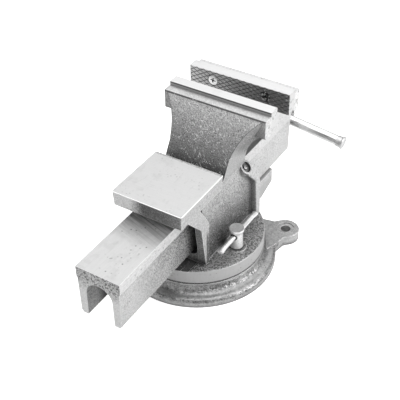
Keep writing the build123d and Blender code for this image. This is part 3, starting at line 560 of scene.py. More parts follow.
def glints(s):
    """Painted glints: sparse bright grains standing in for specular highlights, 1 on a grain."""
    where = s.remap(s.noise(s.place, 160, 2), 0.5, 0.6)
    return s.both(s.remap(s.cells(s.place, 560), 0.3, 0.16), where)


def scuffs(s):
    """Ragged dark marks a few millimetres long, 1 on a mark."""
    return s.remap(s.streaks((500, 200, 160), detail=3, roughness=0.7, place=s.turned(s.place, 0.5)), 0.56, 0.62)


def pits(s, scale, inner, outer, cloud_scale=37):
    """Sparse round pits, 1 inside a pit."""
    where = s.remap(s.noise(s.place, cloud_scale, 1), 0.5, 0.62)
    return s.both(s.remap(s.cells(s.place, scale), outer, inner), where)


def grinding(s, scales):
    """Faint grinding lines."""
    return s.streaks(scales, detail=4, roughness=0.7)


def machined(s, light, lines):
    """Ground steel with grinding lines and a few stains."""
    stains = s.remap(s.noise(s.place, 55, 3, 0.6), 0.54, 0.72)
    color = s.mix(s.remap(lines, 0.3, 0.7), light * 0.93, light)
    return s.mix(s.faded(stains, 0.3), color, light * 0.6)


def jaw_rear_color(s, jaw_top):
    """Rear of the fixed jaw: scratched, with painted shade that darkens it towards its foot and a painted dark line
    of shade along its top.
    """
    tone = tones(s, s.noise(s.place, 1000, 2, 0.6), jaw_rear_tones)
    scratches = s.streaks((45, 500, 900), place=s.turned(s.place, 0.75))
    where = s.remap(s.noise(s.place, 30, 1), 0.44, 0.56)
    scratched = s.both(s.remap(scratches, 0.58, 0.66), where)
    color = s.mix(s.remap(s.z, *jaw_fall_z), tone["high"], tone["low"])
    color = s.mix(s.faded(scratched, 0.7), color, 0.66)
    return s.mix(s.above(s.z, jaw_top - jaw_top_line), color, 0.1)


def anvil_color(s, anvil):
    """Ground face of the anvil with a few marks, dark where it meets the jaw."""
    color = machined(s, 0.61, grinding(s, (60, 900, 60)))
    marks = s.remap(s.streaks((260, 90, 60), detail=3, roughness=0.7, distortion=0.5), 0.58, 0.66)
    color = s.mix(s.faded(marks, 0.22), color, 0.4)
    root = s.both(anvil, s.below(s.ragged(s.y, s.grain, 9 * mm), anvil_root_y, 1.5 * mm))
    return s.mix(s.faded(root, 0.7), color, 0.12)


def tail_color(s):
    """Tail end of the anvil: light at one side, a painted dark reflection over the rest, with a ragged border."""
    dark = s.mix(s.remap(s.x, *tail_fall_x), s.tone["tail_dark"], s.tone["tail_mid"])
    border = s.below(s.ragged(s.x, s.grain, 12 * mm), tail_dark_x, 7 * mm)
    return s.mix(border, s.tone["tail_light"], dark)


def head_color(s, wear, scuff_tone):
    """Head of a jaw, mottled on top, with scuffed ends."""
    end = s.mix(s.faded(scuffs(s), wear), s.tone["head_end"], scuff_tone)
    return s.mix(s.side, s.tone["head_top"], end)


def body_casting():
    """Sand-cast body: light sides, dark low in the jaw, walls and ribs with painted shade, ground on the anvil, jaw
    ends and rim; a painted shadow under the slide, a painted reflection on the anvil's tail, painted highlights and
    glints, and painted shade in corners.
    """
    s = Casting("body_casting", body_tones)
    jaw_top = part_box("vise_body")[1][2]
    anvil_z = jaw_top - anvil_drop
    rear = s.above(s.facing_y, 0.75, 0.1)
    anvil = s.both(s.top, s.above(s.z, anvil_z))
    anvil_tail = s.both(rear, s.above(s.y, anvil_tail_y))
    ends = s.both(s.side, s.above(s.wide, head_end_x))
    head = s.both(s.above(s.z, body_head_z), s.below(s.y, body_head_y), s.either(s.top, ends))
    rim = s.both(s.above(s.distance(s.x, s.y), rim_r), s.below(s.z, rim_z))
    table = s.both(s.below(s.z, table_z), s.above(s.facing_z, 0.6, 0.1))
    patch = s.both(table, s.below(s.wide, patch_x, 0.5 * mm), s.above(s.y, patch_y))
    wall = s.both(s.side, s.below(s.wide, wall_x, 0.4 * mm), s.below(s.z, wall_z, 2 * mm), s.above(s.y, wall_y))
    nose = s.both(s.below(s.y, nose_y), s.below(s.z, nose_z), s.below(s.wide, nose_x))
    jaw_rear = s.both(s.above(s.facing_y, 0.1, 0.05), s.below(s.y, jaw_rear_y), s.above(s.z, jaw_rear_z, 2 * mm))
    web = s.both(s.side, s.below(s.y, jaw_rear_y), s.above(s.z, web_z, 2 * mm), s.below(s.wide, web_x))
    pilaster = s.both(rear, s.above(s.wide, pilaster_x), s.below(s.y, pilaster_y), s.below(s.z, pilaster_z))
    rib = s.both(rear, s.above(s.wide, rib_x), s.above(s.y, rib_y[0]), s.below(s.y, rib_y[1]), s.below(s.z, rib_z))
    rib_side = s.both(
        s.side,
        s.above(s.wide, rib_side_x),
        s.above(s.y, rib_side_y[0]),
        s.below(s.y, rib_side_y[1], 0.6 * mm),
        s.below(s.z, rib_side_z, 6 * mm),
    )
    anvil_edge = s.both(
        s.above(s.z, anvil_z - anvil_edge_drop),
        s.above(s.y, anvil_edge_y),
        s.above(s.facing_z, 0.2, 0.05),
        s.below(s.facing_z, 0.98, 0.01),
    )

    color = s.mix(s.side, s.tone["front"], s.tone["side"])
    # Painted shade on the jaw's rear, darker towards its foot.
    color = s.mix(s.both(jaw_rear, s.outside(head)), color, jaw_rear_color(s, jaw_top))
    color = s.mix(nose, color, s.tone["nose"])
    # Painted shade of the anvil on the walls, darker towards their foot.
    color = s.mix(wall, color, s.mix(s.remap(s.z, *wall_fall_z), s.tone["wall_high"], s.tone["wall_low"]))
    # Painted shade on the web under the jaw's head.
    color = s.mix(s.faded(web, 0.35), color, 0.2)
    color = s.mix(pilaster, color, s.tone["pilaster"])
    color = s.mix(rib, color, s.tone["rib"])
    # Painted shade low on the rib's side.
    color = s.mix(rib_side, color, s.tone["rib_side"])
    color = s.mix(table, color, s.tone["table"])
    # Painted shadow of the slide on the table behind the tunnel.
    color = s.mix(patch, color, s.tone["patch"])
    # Painted reflection: the anvil's tail end is dark over most of its width.
    color = s.mix(anvil_tail, color, tail_color(s))
    # Painted glints on the jaw's rear, the table and the walls.
    color = s.mix(s.both(glints(s), s.either(jaw_rear, table, wall)), color, 0.8)
    color = s.mix(anvil, color, anvil_color(s, anvil))
    color = s.mix(head, color, head_color(s, wear=0.7, scuff_tone=0.2))
    color = s.mix(rim, color, machined(s, 0.46, grinding(s, (500, 500, 90))))
    # Painted shade: a dark line along the foot of the turntable's rim.
    color = s.mix(s.both(rim, s.below(s.z, rim_foot_z)), color, 0.03)

    hole = s.both(pits(s, 240, inner=0.12, outer=0.26), s.outside(s.faded(anvil, 0.6)))
    color = s.mix(s.faded(hole, 0.7), color, pit_tone)
    # Painted highlights along edges, and painted dark edges on the jaw's rear.
    color = s.mix(s.faded(s.edge, 0.85), color, s.mix(jaw_rear, 1.0, 0.12))
    # Painted shade along the creases of the jaw's rear.
    color = s.mix(s.faded(s.both(jaw_rear, s.bend(2 * mm)[1]), 0.75), color, 0.08)
    # Painted highlight along the anvil's top edge.
    color = s.mix(anvil_edge, color, 1)
    # Painted shade in corners everywhere but the nose's top, which is painted a light grey to lift its shadow.
    color = s.mix(s.both(nose, s.above(s.facing_z, 0.5)), s.shade_corners(color), 0.6)

    ground = s.either(anvil, rim, s.both(head, s.side))
    height = s.math("SUBTRACT", s.grain, s.faded(hole, 0.6))
    strength = s.remap(s.either(s.faded(s.side, 0.7), ground), 0, 1, 0.8, 0.15)
    return s.finish(color, metallic=0.45, roughness=0.46, height=height, strength=strength, depth=0.5 * mm)


def slide_top_color(s):
    """Milled top of the slide: swirls over its middle, a few clouds, and painted shade that darkens it towards the
    neck.
    """
    color = machined(s, 0.6, grinding(s, (500, 40, 60)))
    swirl = s.streaks((22, 460, 60), distortion=0.3, place=s.turned(s.place, 0.3, "Z_AXIS"))
    swirled = s.both(s.remap(s.y, *swirl_rear_y), s.remap(s.y, *swirl_front_y), s.remap(swirl, 0.4, 0.56))
    color = s.mix(s.faded(swirled, 0.62), color, 0.16)
    cloud = s.remap(s.streaks((70, 45, 45), detail=4, roughness=0.65, distortion=0.8), 0.53, 0.62)
    color = s.mix(s.faded(cloud, 0.2), color, 0.38)
    return s.mix(s.faded(s.below(s.y, neck_top_y, 4 * mm), 0.7), color, 0.1)


def slide_tail_color(s):
    """Tail end of the slide: plain legs under a darker, pitted arch."""
    arch = s.remap(s.z, *tail_arch_z)
    holes = s.both(s.remap(s.cells(s.place, 300), 0.42, 0.26), arch)
    return s.mix(s.faded(holes, 0.85), s.mix(arch, s.tone["tail_leg"], s.tone["tail_arch"]), 0.05)


def slide_casting():
    """Moving jaw: milled slide, scuffed head, sides that are rough in the middle, pitted tail end, a channel dark
    with painted shade, painted highlights on edges, and painted shade in corners but painted light on faces that
    look down.
    """
    s = Casting("slide_casting", slide_tones)
    tail = s.both(s.above(s.facing_y, 0.8, 0.1), s.above(s.y, tail_y))
    ends = s.both(s.side, s.above(s.wide, head_end_x))
    head = s.both(s.above(s.z, slide_head_z), s.below(s.y, slide_head_y), s.either(s.top, ends))
    band = s.both(s.side, s.above(s.z, band_z[0]), s.below(s.z, band_z[1]))
    near = s.either(s.remap(s.y, *smooth_rear_y), s.remap(s.y, *smooth_front_y))
    channel = s.both(
        s.below(s.wide, channel_x),
        s.below(s.z, channel_z),
        s.above(s.y, channel_y),
        s.below(s.facing_y, 0.5, 0.1),
    )
    deep_shade = s.both(channel, s.remap(s.y, *channel_fall_y))

    side_color = s.mix(near, s.tone["side_rough"], s.tone["side_smooth"])
    side_color = s.mix(s.below(s.y, neck_y, 4 * mm), side_color, s.tone["neck"])
    color = s.mix(s.side, s.tone["front"], side_color)
    marks = s.streaks((300, 260, 700), detail=3, roughness=0.6, distortion=0.4)
    color = s.mix(band, color, s.mix(s.remap(marks, 0.35, 0.65), 0.54, 0.72))
    color = s.mix(tail, color, slide_tail_color(s))
    color = s.mix(s.top, color, slide_top_color(s))
    color = s.mix(head, color, head_color(s, wear=0.8, scuff_tone=0.16))
    # Painted shade inside the channel, nearly black deep in.
    color = s.mix(channel, color, s.mix(deep_shade, s.tone["channel"], 0.02))
    hole = pits(s, 210, inner=0.1, outer=0.24, cloud_scale=45)
    color = s.mix(s.faded(hole, 0.7), color, pit_tone)
    # Painted highlights along edges.
    color = s.mix(s.faded(s.edge, 0.7), color, 0.92)
    # Painted shade in corners, but faces that look down are painted a light grey to lift their shadow.
    color = s.mix(s.below(s.facing_z, -0.9, 0.05), s.shade_corners(color), 0.5)

    ground = s.either(s.top, band, s.both(head, s.side))
    strength = s.remap(s.either(ground, s.both(near, s.side)), 0, 1, 0.9, 0.15)
    height = s.math("SUBTRACT", s.grain, hole)
    return s.finish(color, metallic=0.45, roughness=0.46, height=height, strength=strength, depth=0.45 * mm)


def base_casting():
    """Lumpy, glossy sand-cast ring: painted shade where it is steep and painted light where it is level, lighter on
    its lip, painted bounce light around its foot, painted highlights on edges and painted shade in corners.
    """
    s = Surface("base_casting")
    grain = grains(s)
    lumps = s.noise(s.place, 230, 2, 0.5)
    tone = tones(s, s.math("ADD", s.faded(grain, 0.6), s.faded(lumps, 0.4)), base_tones)
    flat = s.above(s.facing_z, 0.85, 0.1)
    radius = s.distance(s.x, s.y)
    lip = s.both(s.above(s.z, lip_z), s.below(radius, lip_r))
    skirt = s.both(s.outside(flat), s.either(s.below(s.z, skirt_z, 1.5 * mm), s.above(radius, skirt_r)))
    # Painted light and shade: level faces lighter than steep ones.
    color = s.mix(flat, tone["steep"], tone["flat"])
    color = s.mix(lip, color, 0.5)
    # Painted bounce light around the foot.
    color = s.mix(skirt, color, tone["skirt"])
    color = s.mix(s.faded(pits(s, 260, inner=0.12, outer=0.26), 0.7), color, pit_tone)
    # Painted highlights along edges.
    color = s.mix(s.faded(s.edge, 0.8), color, 0.9)
    height = s.math("ADD", s.faded(grain, 0.5), s.faded(lumps, 1.6))
    strength = s.remap(flat, 0, 1, 0.95, 0.4)
    rough = s.remap(flat, 0, 1, 0.32, 0.42)
    # Painted shade in corners.
    return s.finish(s.shade_corners(color), metallic=0.8, roughness=rough, height=height, strength=strength, depth=0.7 * mm)


def bright_plate(name, tone, roughness, scales=(300, 300, 300), corner_shade_reach=4 * mm, edge_wear=0.0):
    """Bright zinc plate with faint cloudy streaks, darker edges where it is worn, and painted shade in corners."""
    s = Surface(name, 0.4 * mm)
    lines = s.streaks(scales, detail=3, roughness=0.6)
    color = s.mix(s.remap(lines, 0.35, 0.65), tone * 0.8, tone)
    color = s.mix(s.faded(s.edge, edge_wear), color, 0.12)
    rough = s.remap(lines, 0.3, 0.7, roughness * 0.8, roughness * 1.3)
    # Painted shade in corners.
    color = s.shade_corners(color, corner_shade_reach)
    return s.finish(color, metallic=0.85, roughness=rough, height=lines, strength=0.2, depth=0.15 * mm)


def behind_plane(s, plane):
    """Distance behind a plane at each jaw, given how far the plane is from the middle between the jaws."""
    return s.math("SUBTRACT", s.size(s.math("ADD", s.y, -jaws_middle_y)), plane)


def jaw_plate_steel():
    """Hardened plate: ground top, scuffed ends, a cross-cut face with a painted dark reflection that gets darker
    towards one end, painted shade in its grooves, and a painted dark line of shade along the top of its back.
    """
    s = Surface("jaw_plate", 0.3 * mm)
    lines = grinding(s, (40, 900, 900))
    worn = s.noise(s.place, 420, 3, 0.6)
    depth = behind_plane(s, jaws_half_gap)
    face = s.above(s.size(s.facing_y), 0.5, 0.2)
    ends = s.above(s.size(s.facing_x), 0.9, 0.05)
    under_top = s.below(s.z, face_top_z)
    grooves = s.both(s.above(depth, 0.12 * mm, 0.08 * mm), s.below(depth, plate_behind))
    # Painted reflection: the lozenge tops darken towards one end.
    tops = s.mix(s.remap(s.ragged(s.x, worn, 60 * mm), *face_fall_x), 0.62, 0.22)
    tops = s.mix(s.remap(worn, 0.58, 0.66), tops, 0.7)
    back_color = s.mix(s.above(s.z, plate_back_z, 0.3 * mm), 0.36, 0.07)
    color = s.mix(s.both(face, under_top), machined(s, 0.78, lines), tops)
    # Painted shade in the grooves.
    color = s.mix(s.both(grooves, under_top), color, 0.02)
    # The back is grey, with a painted dark line of shade along its top.
    color = s.mix(s.above(depth, plate_back), color, back_color)
    color = s.mix(ends, color, s.mix(s.faded(scuffs(s), 0.6), 0.62, 0.15))
    return s.finish(color, metallic=0.55, roughness=0.45, height=lines, strength=0.15, depth=0.1 * mm)


def plate_screw_steel():
    """Plated screw heads, bright at one side of the jaws, and a painted dark reflection but for a few painted
    glints at the other, with painted shade in the cross recess.
    """
    s = Surface("plate_screw", 0.3 * mm)
    worn = s.noise(s.place, 480, 2, 0.6)
    bright = s.mix(s.remap(worn, 0.3, 0.7), 0.88, 1.0)
    # Painted dark reflection with a few painted glints.
    black = s.mix(s.remap(worn, 0.54, 0.6), 0.07, 0.85)
    color = s.mix(s.below(s.x, 0), bright, black)
    # Painted shade in the cross recess.
    recess = s.above(behind_plane(s, jaws_half_gap + head_sink), 0.25 * mm, 0.1 * mm)
    color = s.mix(recess, color, 0.03)
    return s.finish(color, metallic=0.8, roughness=0.3, height=worn, strength=0.15, depth=0.1 * mm)


def lock_plate():
    """Zinc on the swivel locks: darker on top, dark with oil and painted shade in the rod hole, a painted contact
    shadow at the foot, and painted shade in corners.
    """
    s = Surface("plated_lock", 0.5 * mm)
    mottle = s.noise(s.place, 420, 3, 0.6)
    top = s.both(s.above(s.facing_z, 0.9, 0.05), s.above(s.z, lock_head_z))
    color = s.mix(s.remap(mottle, 0.35, 0.65), 0.74, 0.98)
    color = s.mix(top, color, s.mix(s.remap(mottle, 0.35, 0.65), 0.44, 0.58))
    from_rod = s.distance(s.math("SUBTRACT", s.size(s.x), lock_x), s.math("SUBTRACT", s.z, handle_z))
    # Oil and painted shade in and around the rod hole.
    color = s.mix(s.below(from_rod, rod_oil_and_shade_r, 0.4 * mm), color, 0.03)
    # Painted contact shadow at the foot.
    color = s.mix(s.below(s.z, lock_foot_shadow_z, 0.4 * mm), color, 0.05)
    # Painted shade in corners.
    color = s.shade_corners(color, 3 * mm)
    return s.finish(color, metallic=0.5, roughness=0.36, height=mottle, strength=0.3, depth=0.2 * mm)


def dark_steel(name, tone, roughness):
    """Oiled turned steel or iron, with painted shade in corners."""
    s = Surface(name, 0.4 * mm)
    lines = s.noise(s.place, 260, 3, 0.6)
    color = s.mix(s.remap(lines, 0.3, 0.7), tone * 0.75, tone)
    return s.finish(s.shade_corners(color), metallic=1.0, roughness=roughness, height=lines, strength=0.2, depth=0.1 * mm)


def make_materials():
    """Every record slot's material."""
    return {
        "base_casting": base_casting(),
        "body_casting": body_casting(),
        "slide_casting": slide_casting(),
        "jaw_plate": jaw_plate_steel(),
        "plate_screw": plate_screw_steel(),
        "screw_steel": dark_steel("screw_steel", tone=0.42, roughness=0.3),
        "washer_steel": dark_steel("washer_steel", tone=0.5, roughness=0.35),
        "pin_steel": bright_plate("pin_steel", tone=0.5, roughness=0.3),
        "nut_iron": dark_steel("nut_iron", tone=0.36, roughness=0.5),
        "black_bolt": dark_steel("black_bolt", tone=0.1, roughness=0.4),
        "plated_bar": bright_plate("plated_bar", tone=0.9, roughness=0.18, scales=(20, 400, 400)),
        "plated_cap": bright_plate("plated_cap", 0.66, 0.34, (500, 500, 500), corner_shade_reach=3 * mm, edge_wear=0.7),
        "plated_lock": lock_plate(),
        "plated_handle": bright_plate("plated_handle", 0.86, 0.35, (500, 30, 500), edge_wear=0.5),
        "shoe_iron": dark_steel("shoe_iron", tone=0.34, roughness=0.55),
    }


def axes(axis, side=None):
    """Unit vectors along an axis, to one side of it, and across both."""
    along = Vector(axis).normalized()
    side = along.orthogonal().normalized() if side is None else Vector(side).normalized()
    return along, side, along.cross(side)


def points(profile, start=0.0):
    """A profile given in millimetres, moved along its axis."""
    return [(radius * mm, start + distance * mm) for radius, distance in profile]


def lathe(profile, place, axis, steps=64):
    """A closed skin turned from (radius, distance) points along an axis."""
    skin = bmesh.new()
    along, side, across = axes(axis)
    rings = []
    for radius, distance in profile:
        middle = Vector(place) + along * distance
        turns = [2 * pi * i / steps for i in range(steps)] if radius else [0]
        rings.append([skin.verts.new(middle + (side * cos(t) + across * sin(t)) * radius) for t in turns])
    for low, high in zip(rings, rings[1:]):
        for i in range(steps):
            j = (i + 1) % steps
            corners = (low[i % len(low)], low[j % len(low)], high[j % len(high)], high[i % len(high)])
            if len(low) > 1 or len(high) > 1:
                skin.faces.new(list(dict.fromkeys(corners)))
    bmesh.ops.recalc_face_normals(skin, faces=skin.faces)
    return skin


def thread(place, axis, start, end, crest_r, root_r, lead, steps):
    """A closed right-hand trapezoidal thread between two distances along an axis."""
    skin = bmesh.new()
    along, side, across = axes(axis)
    corners = list(zip(thread_shares, (root_r, root_r, crest_r, crest_r)))
    count = len(corners) * (int((end - start) / lead) + 3)
    columns = []
    for i in range(steps):
        turn = 2 * pi * i / steps
        outwards = side * cos(turn) + across * sin(turn)
        column = []
        for k in range(count):
            share, radius = corners[k % len(corners)]
            distance = start + lead * (k // len(corners) + share - 1 + i / steps)
            if not start < distance < end:
                distance, radius = min(max(distance, start), end), root_r
            column.append(skin.verts.new(Vector(place) + along * distance + outwards * radius))
        columns.append(column)
    for i in range(steps):
        after, shift = (columns[i + 1], 0) if i + 1 < steps else (columns[0], len(corners))
        for k in range(count - 1 - shift):
            skin.faces.new((columns[i][k], after[k + shift], after[k + 1 + shift], columns[i][k + 1]))
    bmesh.ops.remove_doubles(skin, verts=skin.verts, dist=weld)
    bmesh.ops.dissolve_degenerate(skin, edges=skin.edges, dist=weld)
    bmesh.ops.holes_fill(skin, edges=[e for e in skin.edges if e.is_boundary], sides=0)
    bmesh.ops.recalc_face_normals(skin, faces=skin.faces)
    return skin


def prism(outline, place, axis, side, levels):
    """A closed skin through copies of an outline, each at its own distance and scale."""
    skin = bmesh.new()
    along, side, across = axes(axis, side)
    rings = []
    for distance, scale in levels:
        middle = Vector(place) + along * distance
        rings.append([skin.verts.new(middle + (side * u + across * v) * scale) for u, v in outline])
    count = len(outline)
    for low, high in zip(rings, rings[1:]):
        for i in range(count):
            skin.faces.new((low[i], low[(i + 1) % count], high[(i + 1) % count], high[i]))
    skin.faces.new(rings[0])
    skin.faces.new(rings[-1])
    bmesh.ops.recalc_face_normals(skin, faces=skin.faces)
    return skin


def as_object(name, skin):
    mesh = bpy.data.meshes.new(name)
    skin.to_mesh(mesh)
    skin.free()
    made = bpy.data.objects.new(name, mesh)
    bpy.context.scene.collection.objects.link(made)
    return made


def cut(skin, *cutters):
    """What is left of a skin once the cutters are taken out of it."""
    target = as_object("target", skin)
    tools = [as_object("tool", cutter) for cutter in cutters]
    for tool in tools:
        modifier = target.modifiers.new("cut", "BOOLEAN")
        modifier.operation = "DIFFERENCE"
        modifier.solver = "EXACT"
        modifier.object = tool
    bpy.context.view_layer.update()
    left = bmesh.new()
    left.from_object(target, bpy.context.evaluated_depsgraph_get())
    for used in [target] + tools:
        mesh = used.data
        bpy.data.objects.remove(used)
        bpy.data.meshes.remove(mesh)
    return left


def piece(name, body, slot, skins, replaced):
    """One shown piece made of closed skins, smooth but for its sharp edges."""
    whole = bmesh.new()
    for skin in skins:
        loose = bpy.data.meshes.new("loose")
        skin.to_mesh(loose)
        skin.free()
        whole.from_mesh(loose)
        bpy.data.meshes.remove(loose)
    made = as_object(name, whole)
    made.data.shade_smooth()
    made.data.set_sharp_from_angle(angle=sharp_angle)
    made.data.materials.append(materials[slot])
    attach(made, body)
    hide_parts(replaced)


def lozenges(low, high, face_y, back):
    """The cross-cut gripping face of a jaw plate: raised lozenges with grooves between them."""
    skin = bmesh.new()
    shared = {}

    def corner(x, z, depth):
        key = (round(x / mm, 3), round(z / mm, 3), depth)
        if key not in shared:
            shared[key] = skin.verts.new((x, face_y + back * depth, z))
        return shared[key]

    length, height = lozenge_half_length, lozenge_half_height
    ends = ((length, 0), (0, height), (-length, 0), (0, -height))
    columns = int((high[0] - low[0]) / length) + 2
    rows = int((high[2] - low[2]) / height) + 2
    for column in range(-1, columns):
        for row in range(-1, rows):
            if (column + row) % 2:
                continue
            x, z = low[0] + column * length, low[2] + row * height
            outer = [corner(x + u, z + v, groove_depth) for u, v in ends]
            inner = [corner(x + u * lozenge_top_share, z + v * lozenge_top_share, 0) for u, v in ends]
            skin.faces.new(inner)
            for i in range(len(ends)):
                j = (i + 1) % len(ends)
                skin.faces.new((outer[i], outer[j], inner[j], inner[i]))
    return skin


def trim(skin, place, outwards, fill=False):
    """Cuts off what lies beyond a plane."""
    geometry = skin.verts[:] + skin.edges[:] + skin.faces[:]
    made = bmesh.ops.bisect_plane(skin, geom=geometry, plane_co=place, plane_no=outwards, clear_outer=True)
    if fill:
        edges = [g for g in made["geom_cut"] if isinstance(g, bmesh.types.BMEdge)]
        bmesh.ops.edgeloop_fill(skin, edges=edges)


def plate_blank(low, high, face_y, back_y, back):
    """A jaw plate without its holes: a cross-cut face, plain sides, and slanted edges along the top."""
    skin = lozenges(low, high, face_y, back)
    for place, outwards in ((low, (-1, 0, 0)), (high, (1, 0, 0)), (low, (0, 0, -1)), (high, (0, 0, 1))):
        trim(skin, place, outwards)
    border = [e for e in skin.edges if e.is_boundary]
    walls = bmesh.ops.extrude_edge_only(skin, edges=border)["geom"]
    for v in [g for g in walls if isinstance(g, bmesh.types.BMVert)]:
        v.co.y = back_y
    bmesh.ops.edgeloop_fill(skin, edges=[e for e in skin.edges if e.is_boundary])
    bmesh.ops.recalc_face_normals(skin, faces=skin.faces)
    for y, slope in ((face_y, -back), (back_y, back)):
        trim(skin, (0, y, high.z - plate_edge), (0, slope, 1), fill=True)
    bmesh.ops.recalc_face_normals(skin, faces=skin.faces)
    return skin


def plate_hole(place, inwards):
    """What a countersunk screw takes out of its plate."""
    start, end = hole_span
    profile = (
        (0, start),
        (head_r + sink_gap, start),
        (head_r + sink_gap, cone_top),
        (head_r + head_gap, cone_top),
        (screw_r + head_gap, cone_foot),
        (screw_r + head_gap, end),
        (0, end),
    )
    return lathe(profile, place, inwards)


def plate_screw(place, inwards, turn):
    """A countersunk head with a cross recess, and the screw's thread."""
    profile = (
        (0, head_sink),
        (head_r - head_edge, head_sink),
        (head_r, cone_top),
        (screw_r, cone_foot),
        (screw_r, screw_thread_start),
        (0, screw_thread_start),
    )
    width = recess_width / 2
    arm = [(recess_reach, -width), (recess_reach, width), (width, width)]
    cross = []
    for _ in range(4):
        cross += arm
        arm = [(-v, u) for u, v in arm]
    levels = zip((-recess_lip, head_sink + recess_depth), recess_scales)
    recess = prism(cross, place, inwards, (cos(turn), 0, sin(turn)), levels)
    head = cut(lathe(profile, place, inwards), recess)
    start = screw_thread_start - thread_overlap
    return [head, thread(place, inwards, start, screw_length, screw_r, screw_root_r, screw_lead, steps=20)]


def jaw_plate(node, body, screws_node):
    """A jaw plate with countersunk holes, and its two screws."""
    low, high = (Vector(c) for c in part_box(node))
    faces_rear = body == "moving_jaw"
    face_y, back_y = (high.y, low.y) if faces_rear else (low.y, high.y)
    back = -1 if faces_rear else 1
    blank = plate_blank(low, high, face_y, back_y, back)
    screws = []
    holes = []
    z = (low.z + high.z) / 2 + screw_rise
    for side in (-1, 1):
        place = (side * screw_x, face_y, z)
        inwards = (0, back, 0)
        holes.append(plate_hole(place, inwards))
        screws += plate_screw(place, inwards, screw_turns[(body, side)])
    piece(node + "_cut", body, "jaw_plate", [cut(blank, *holes)], node)
    piece(screws_node + "_recessed", body, "plate_screw", screws, screws_node)


def cross_hole(middle, along, radius):
    """What a hole across the main screw takes out of it."""
    profile = ((0, 0), (radius, 0), (radius, cross_hole_length), (0, cross_hole_length))
    return lathe(profile, middle - Vector(along) * cross_hole_length / 2, along)


def main_screw():
    """The main screw: domed head, collar and shank in one turned piece, then a cut thread."""
    low, high = (Vector(c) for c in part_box("spindle"))
    place = (0, low.y, screw_axis_z)
    along = (0, 1, 0)
    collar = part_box("thrust_washer")[0][1] - low.y
    length = high.y - low.y
    turned = [(0, 0)]
    for i in range(dome_steps + 1):
        turn = pi / 2 * i / dome_steps
        turned.append((dome_flat_r + dome_round * sin(turn), dome_round * (1 - cos(turn))))
    turned += points(collar_profile, collar)
    turned += [
        (shank_r, collar),
        (shank_r, shank_end - shank_edge),
        (shank_r - shank_edge, shank_end),
        (0, shank_end),
    ]
    bar_hole = cross_hole(bar_middle, bar_along, bar_hole_r)
    pin_hole = cross_hole(Vector((0, pin_y, screw_axis_z)), (0, 0, 1), pin_hole_r)
    tip_start = length - tip_length
    tip = ((0, tip_start), (tip_root_r, tip_start), (tip_r, length), (0, length))
    start, end = shank_end - thread_overlap, length - thread_end
    skins = [
        cut(lathe(turned, place, along), bar_hole, pin_hole),
        thread(place, along, start, end, thread_r, thread_root_r, thread_lead, steps=40),
        lathe(tip, place, along),
    ]
    piece("main_screw", "spindle", "screw_steel", skins, "spindle")


def turning_bar():
    """The bar through the main screw's head."""
    full = 2 * bar_half
    profile = (
        (0, 0),
        (bar_r - bar_edge, 0),
        (bar_r, bar_edge),
        (bar_r, full - bar_edge),
        (bar_r - bar_edge, full),
        (0, full),
    )
    skin = lathe(profile, bar_middle - bar_along * bar_half, bar_along)
    piece("turning_bar", "tommy_bar", "plated_bar", [skin], "tommy_bar")


def bar_cap(side, node):
    """A pressed cap: a sleeve, a rolled rim and a dished end."""
    along = bar_along * side
    start = bar_middle + along * (bar_half + cap_overhang - cap_length)
    inside_r = bar_r + cap_fit
    profile = [(inside_r, 0)] + points(cap_sleeve_profile)
    for degrees in cap_rim_turns:
        turn = radians(degrees)
        radius = cap_rim_r - cap_rim_round + cap_rim_round * cos(turn)
        profile.append((radius, cap_length - cap_rim_round + cap_rim_round * sin(turn)))
    profile += points(cap_end_profile) + [(0, cap_floor), (inside_r, cap_floor), (inside_r, 0)]
    skin = lathe(profile, start, along)
    bmesh.ops.remove_doubles(skin, verts=skin.verts, dist=weld)
    bmesh.ops.recalc_face_normals(skin, faces=skin.faces)
    piece(node + "_rolled", "tommy_bar", "plated_cap", [skin], node)


def lock_screw(side, node):
    """A swivel lock: flat flared head, waisted neck with a hole for its rod, threaded shank."""
    place = (side * lock_x, lock_y, lock_tip_z)
    up = (0, 0, 1)
    foot, top, rod = lock_foot_z - lock_tip_z, lock_top_z - lock_tip_z, handle_z - lock_tip_z
    neck = points(lock_foot_profile, foot)
    for step in range(flare_steps + 1):
        share = step / flare_steps
        radius = flare_r[0] + (flare_r[1] - flare_r[0]) * share * share
        neck.append((radius, rod + flare_start + flare_length * share))
    neck += points(lock_head_profile, top)
    hole = lathe(points(rod_hole_profile), (side * lock_x, lock_y, handle_z), (0, 1, 0))
    end = foot - lock_thread_end
    skins = [
        cut(lathe(neck, place, up), hole),
        thread(place, up, lock_thread_start, end, lock_thread_r, lock_root_r, lock_lead, steps=32),
        lathe(points(lock_tip_profile), place, up, steps=32),
    ]
    piece(node + "_turned", node, "plated_lock", skins, node)


def guide_screw(side, node):
    """A slanted screw with a slotted dome at its outer end."""
    outwards = Vector((side, 0, 1)).normalized()
    middle = Vector((side * guide_place[0], guide_place[1], guide_place[2]))
    top = middle + outwards * guide_top
    dome = [(0, 0)]
    for i in range(1, guide_dome_steps + 1):
        turn = pi / 2 * i / guide_dome_steps
        dome.append((guide_r * sin(turn), guide_dome * (1 - cos(turn))))
    head = lathe(dome + [(guide_r, guide_head), (0, guide_head)], top, -outwards, steps=40)
    u, v = guide_slot_half, guide_slot / 2
    levels = ((-guide_slot_depth, 1), (guide_slot_depth, 1))
    slot = prism([(-u, -v), (u, -v), (u, v), (-u, v)], top, -outwards, guide_slot_along, levels)
    body = thread(top, -outwards, *guide_thread, guide_thread_r, guide_root_r, guide_lead, steps=20)
    piece(node + "_slotted", "vise_body", "pin_steel", [cut(head, slot), body], node)


def ray_masks(g):
    """1 for what is seen directly or through glass, and 1 for what gloss mirrors."""
    rays = g.node("ShaderNodeLightPath")
    seen = g.math("MAXIMUM", rays.outputs["Is Camera Ray"], rays.outputs["Is Transmission Ray"])
    return seen, rays.outputs["Is Glossy Ray"]


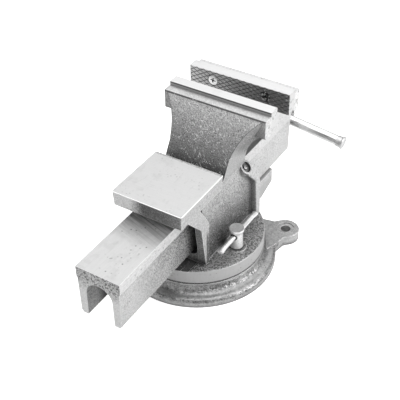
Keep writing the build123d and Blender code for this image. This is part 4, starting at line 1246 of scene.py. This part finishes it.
def make_world():
    """A white studio: white behind the vise, softer where it lights the vise."""
    world = bpy.data.worlds.new("studio")
    world.use_nodes = True
    bpy.context.scene.world = world
    g = Graph(world.node_tree)
    seen, mirrored = ray_masks(g)
    up = g.split(g.node("ShaderNodeTexCoord").outputs["Generated"])[2]
    shown = g.math("MULTIPLY", mirrored, g.remap(up, *world_heights, *world_mirrored))
    background = g.node("ShaderNodeBackground")
    g.feed(background.inputs["Color"], grey(1))
    g.feed(background.inputs["Strength"], g.either(seen, shown, world_light))
    output = g.node("ShaderNodeOutputWorld")
    g.tree.links.new(background.outputs[0], output.inputs[0])


def make_floor():
    """White floor that keeps the vise's soft shadow."""
    material = bpy.data.materials.new("floor")
    material.use_nodes = True
    g = Graph(material.node_tree)
    seen, mirrored = ray_masks(g)
    paper = g.node("ShaderNodeBsdfDiffuse")
    g.feed(paper.inputs["Color"], grey(floor_paper))
    glow = g.node("ShaderNodeEmission")
    g.feed(glow.inputs["Strength"], g.either(g.faded(seen, floor_seen), g.faded(mirrored, floor_mirrored)))
    both = g.node("ShaderNodeAddShader")
    g.tree.links.new(paper.outputs[0], both.inputs[0])
    g.tree.links.new(glow.outputs[0], both.inputs[1])
    output = g.node("ShaderNodeOutputMaterial")
    g.tree.links.new(both.outputs[0], output.inputs[0])
    mesh = bpy.data.meshes.new("floor")
    corners = [(x * floor_half, y * floor_half, -floor_drop) for x, y in ((-1, -1), (1, -1), (1, 1), (-1, 1))]
    mesh.from_pydata(corners, [], [(0, 1, 2, 3)])
    floor = bpy.data.objects.new("floor", mesh)
    mesh.materials.append(material)
    bpy.context.scene.collection.objects.link(floor)


make_camera()
make_lamps()
make_world()
make_floor()
materials = make_materials()
for subpart in frame["record"]["subparts"]:
    shown = nodes[subpart["node"]]
    shown.data.materials.clear()
    shown.data.materials.append(materials[subpart["material_slot"]])

jaw_plate("fixed_jaw_plate", "vise_body", "fixed_jaw_screws")
jaw_plate("moving_jaw_plate", "moving_jaw", "moving_jaw_screws")
main_screw()
turning_bar()
for side, name in ((-1, "left"), (1, "right")):
    bar_cap(side, "tommy_bar_cap_" + name)
    lock_screw(side, "lock_screw_" + name)
guide_screw(-1, "guide_screw_left")
guide_screw(1, "guide_screw_right")

bpy.context.scene.view_settings.view_transform = "Standard"
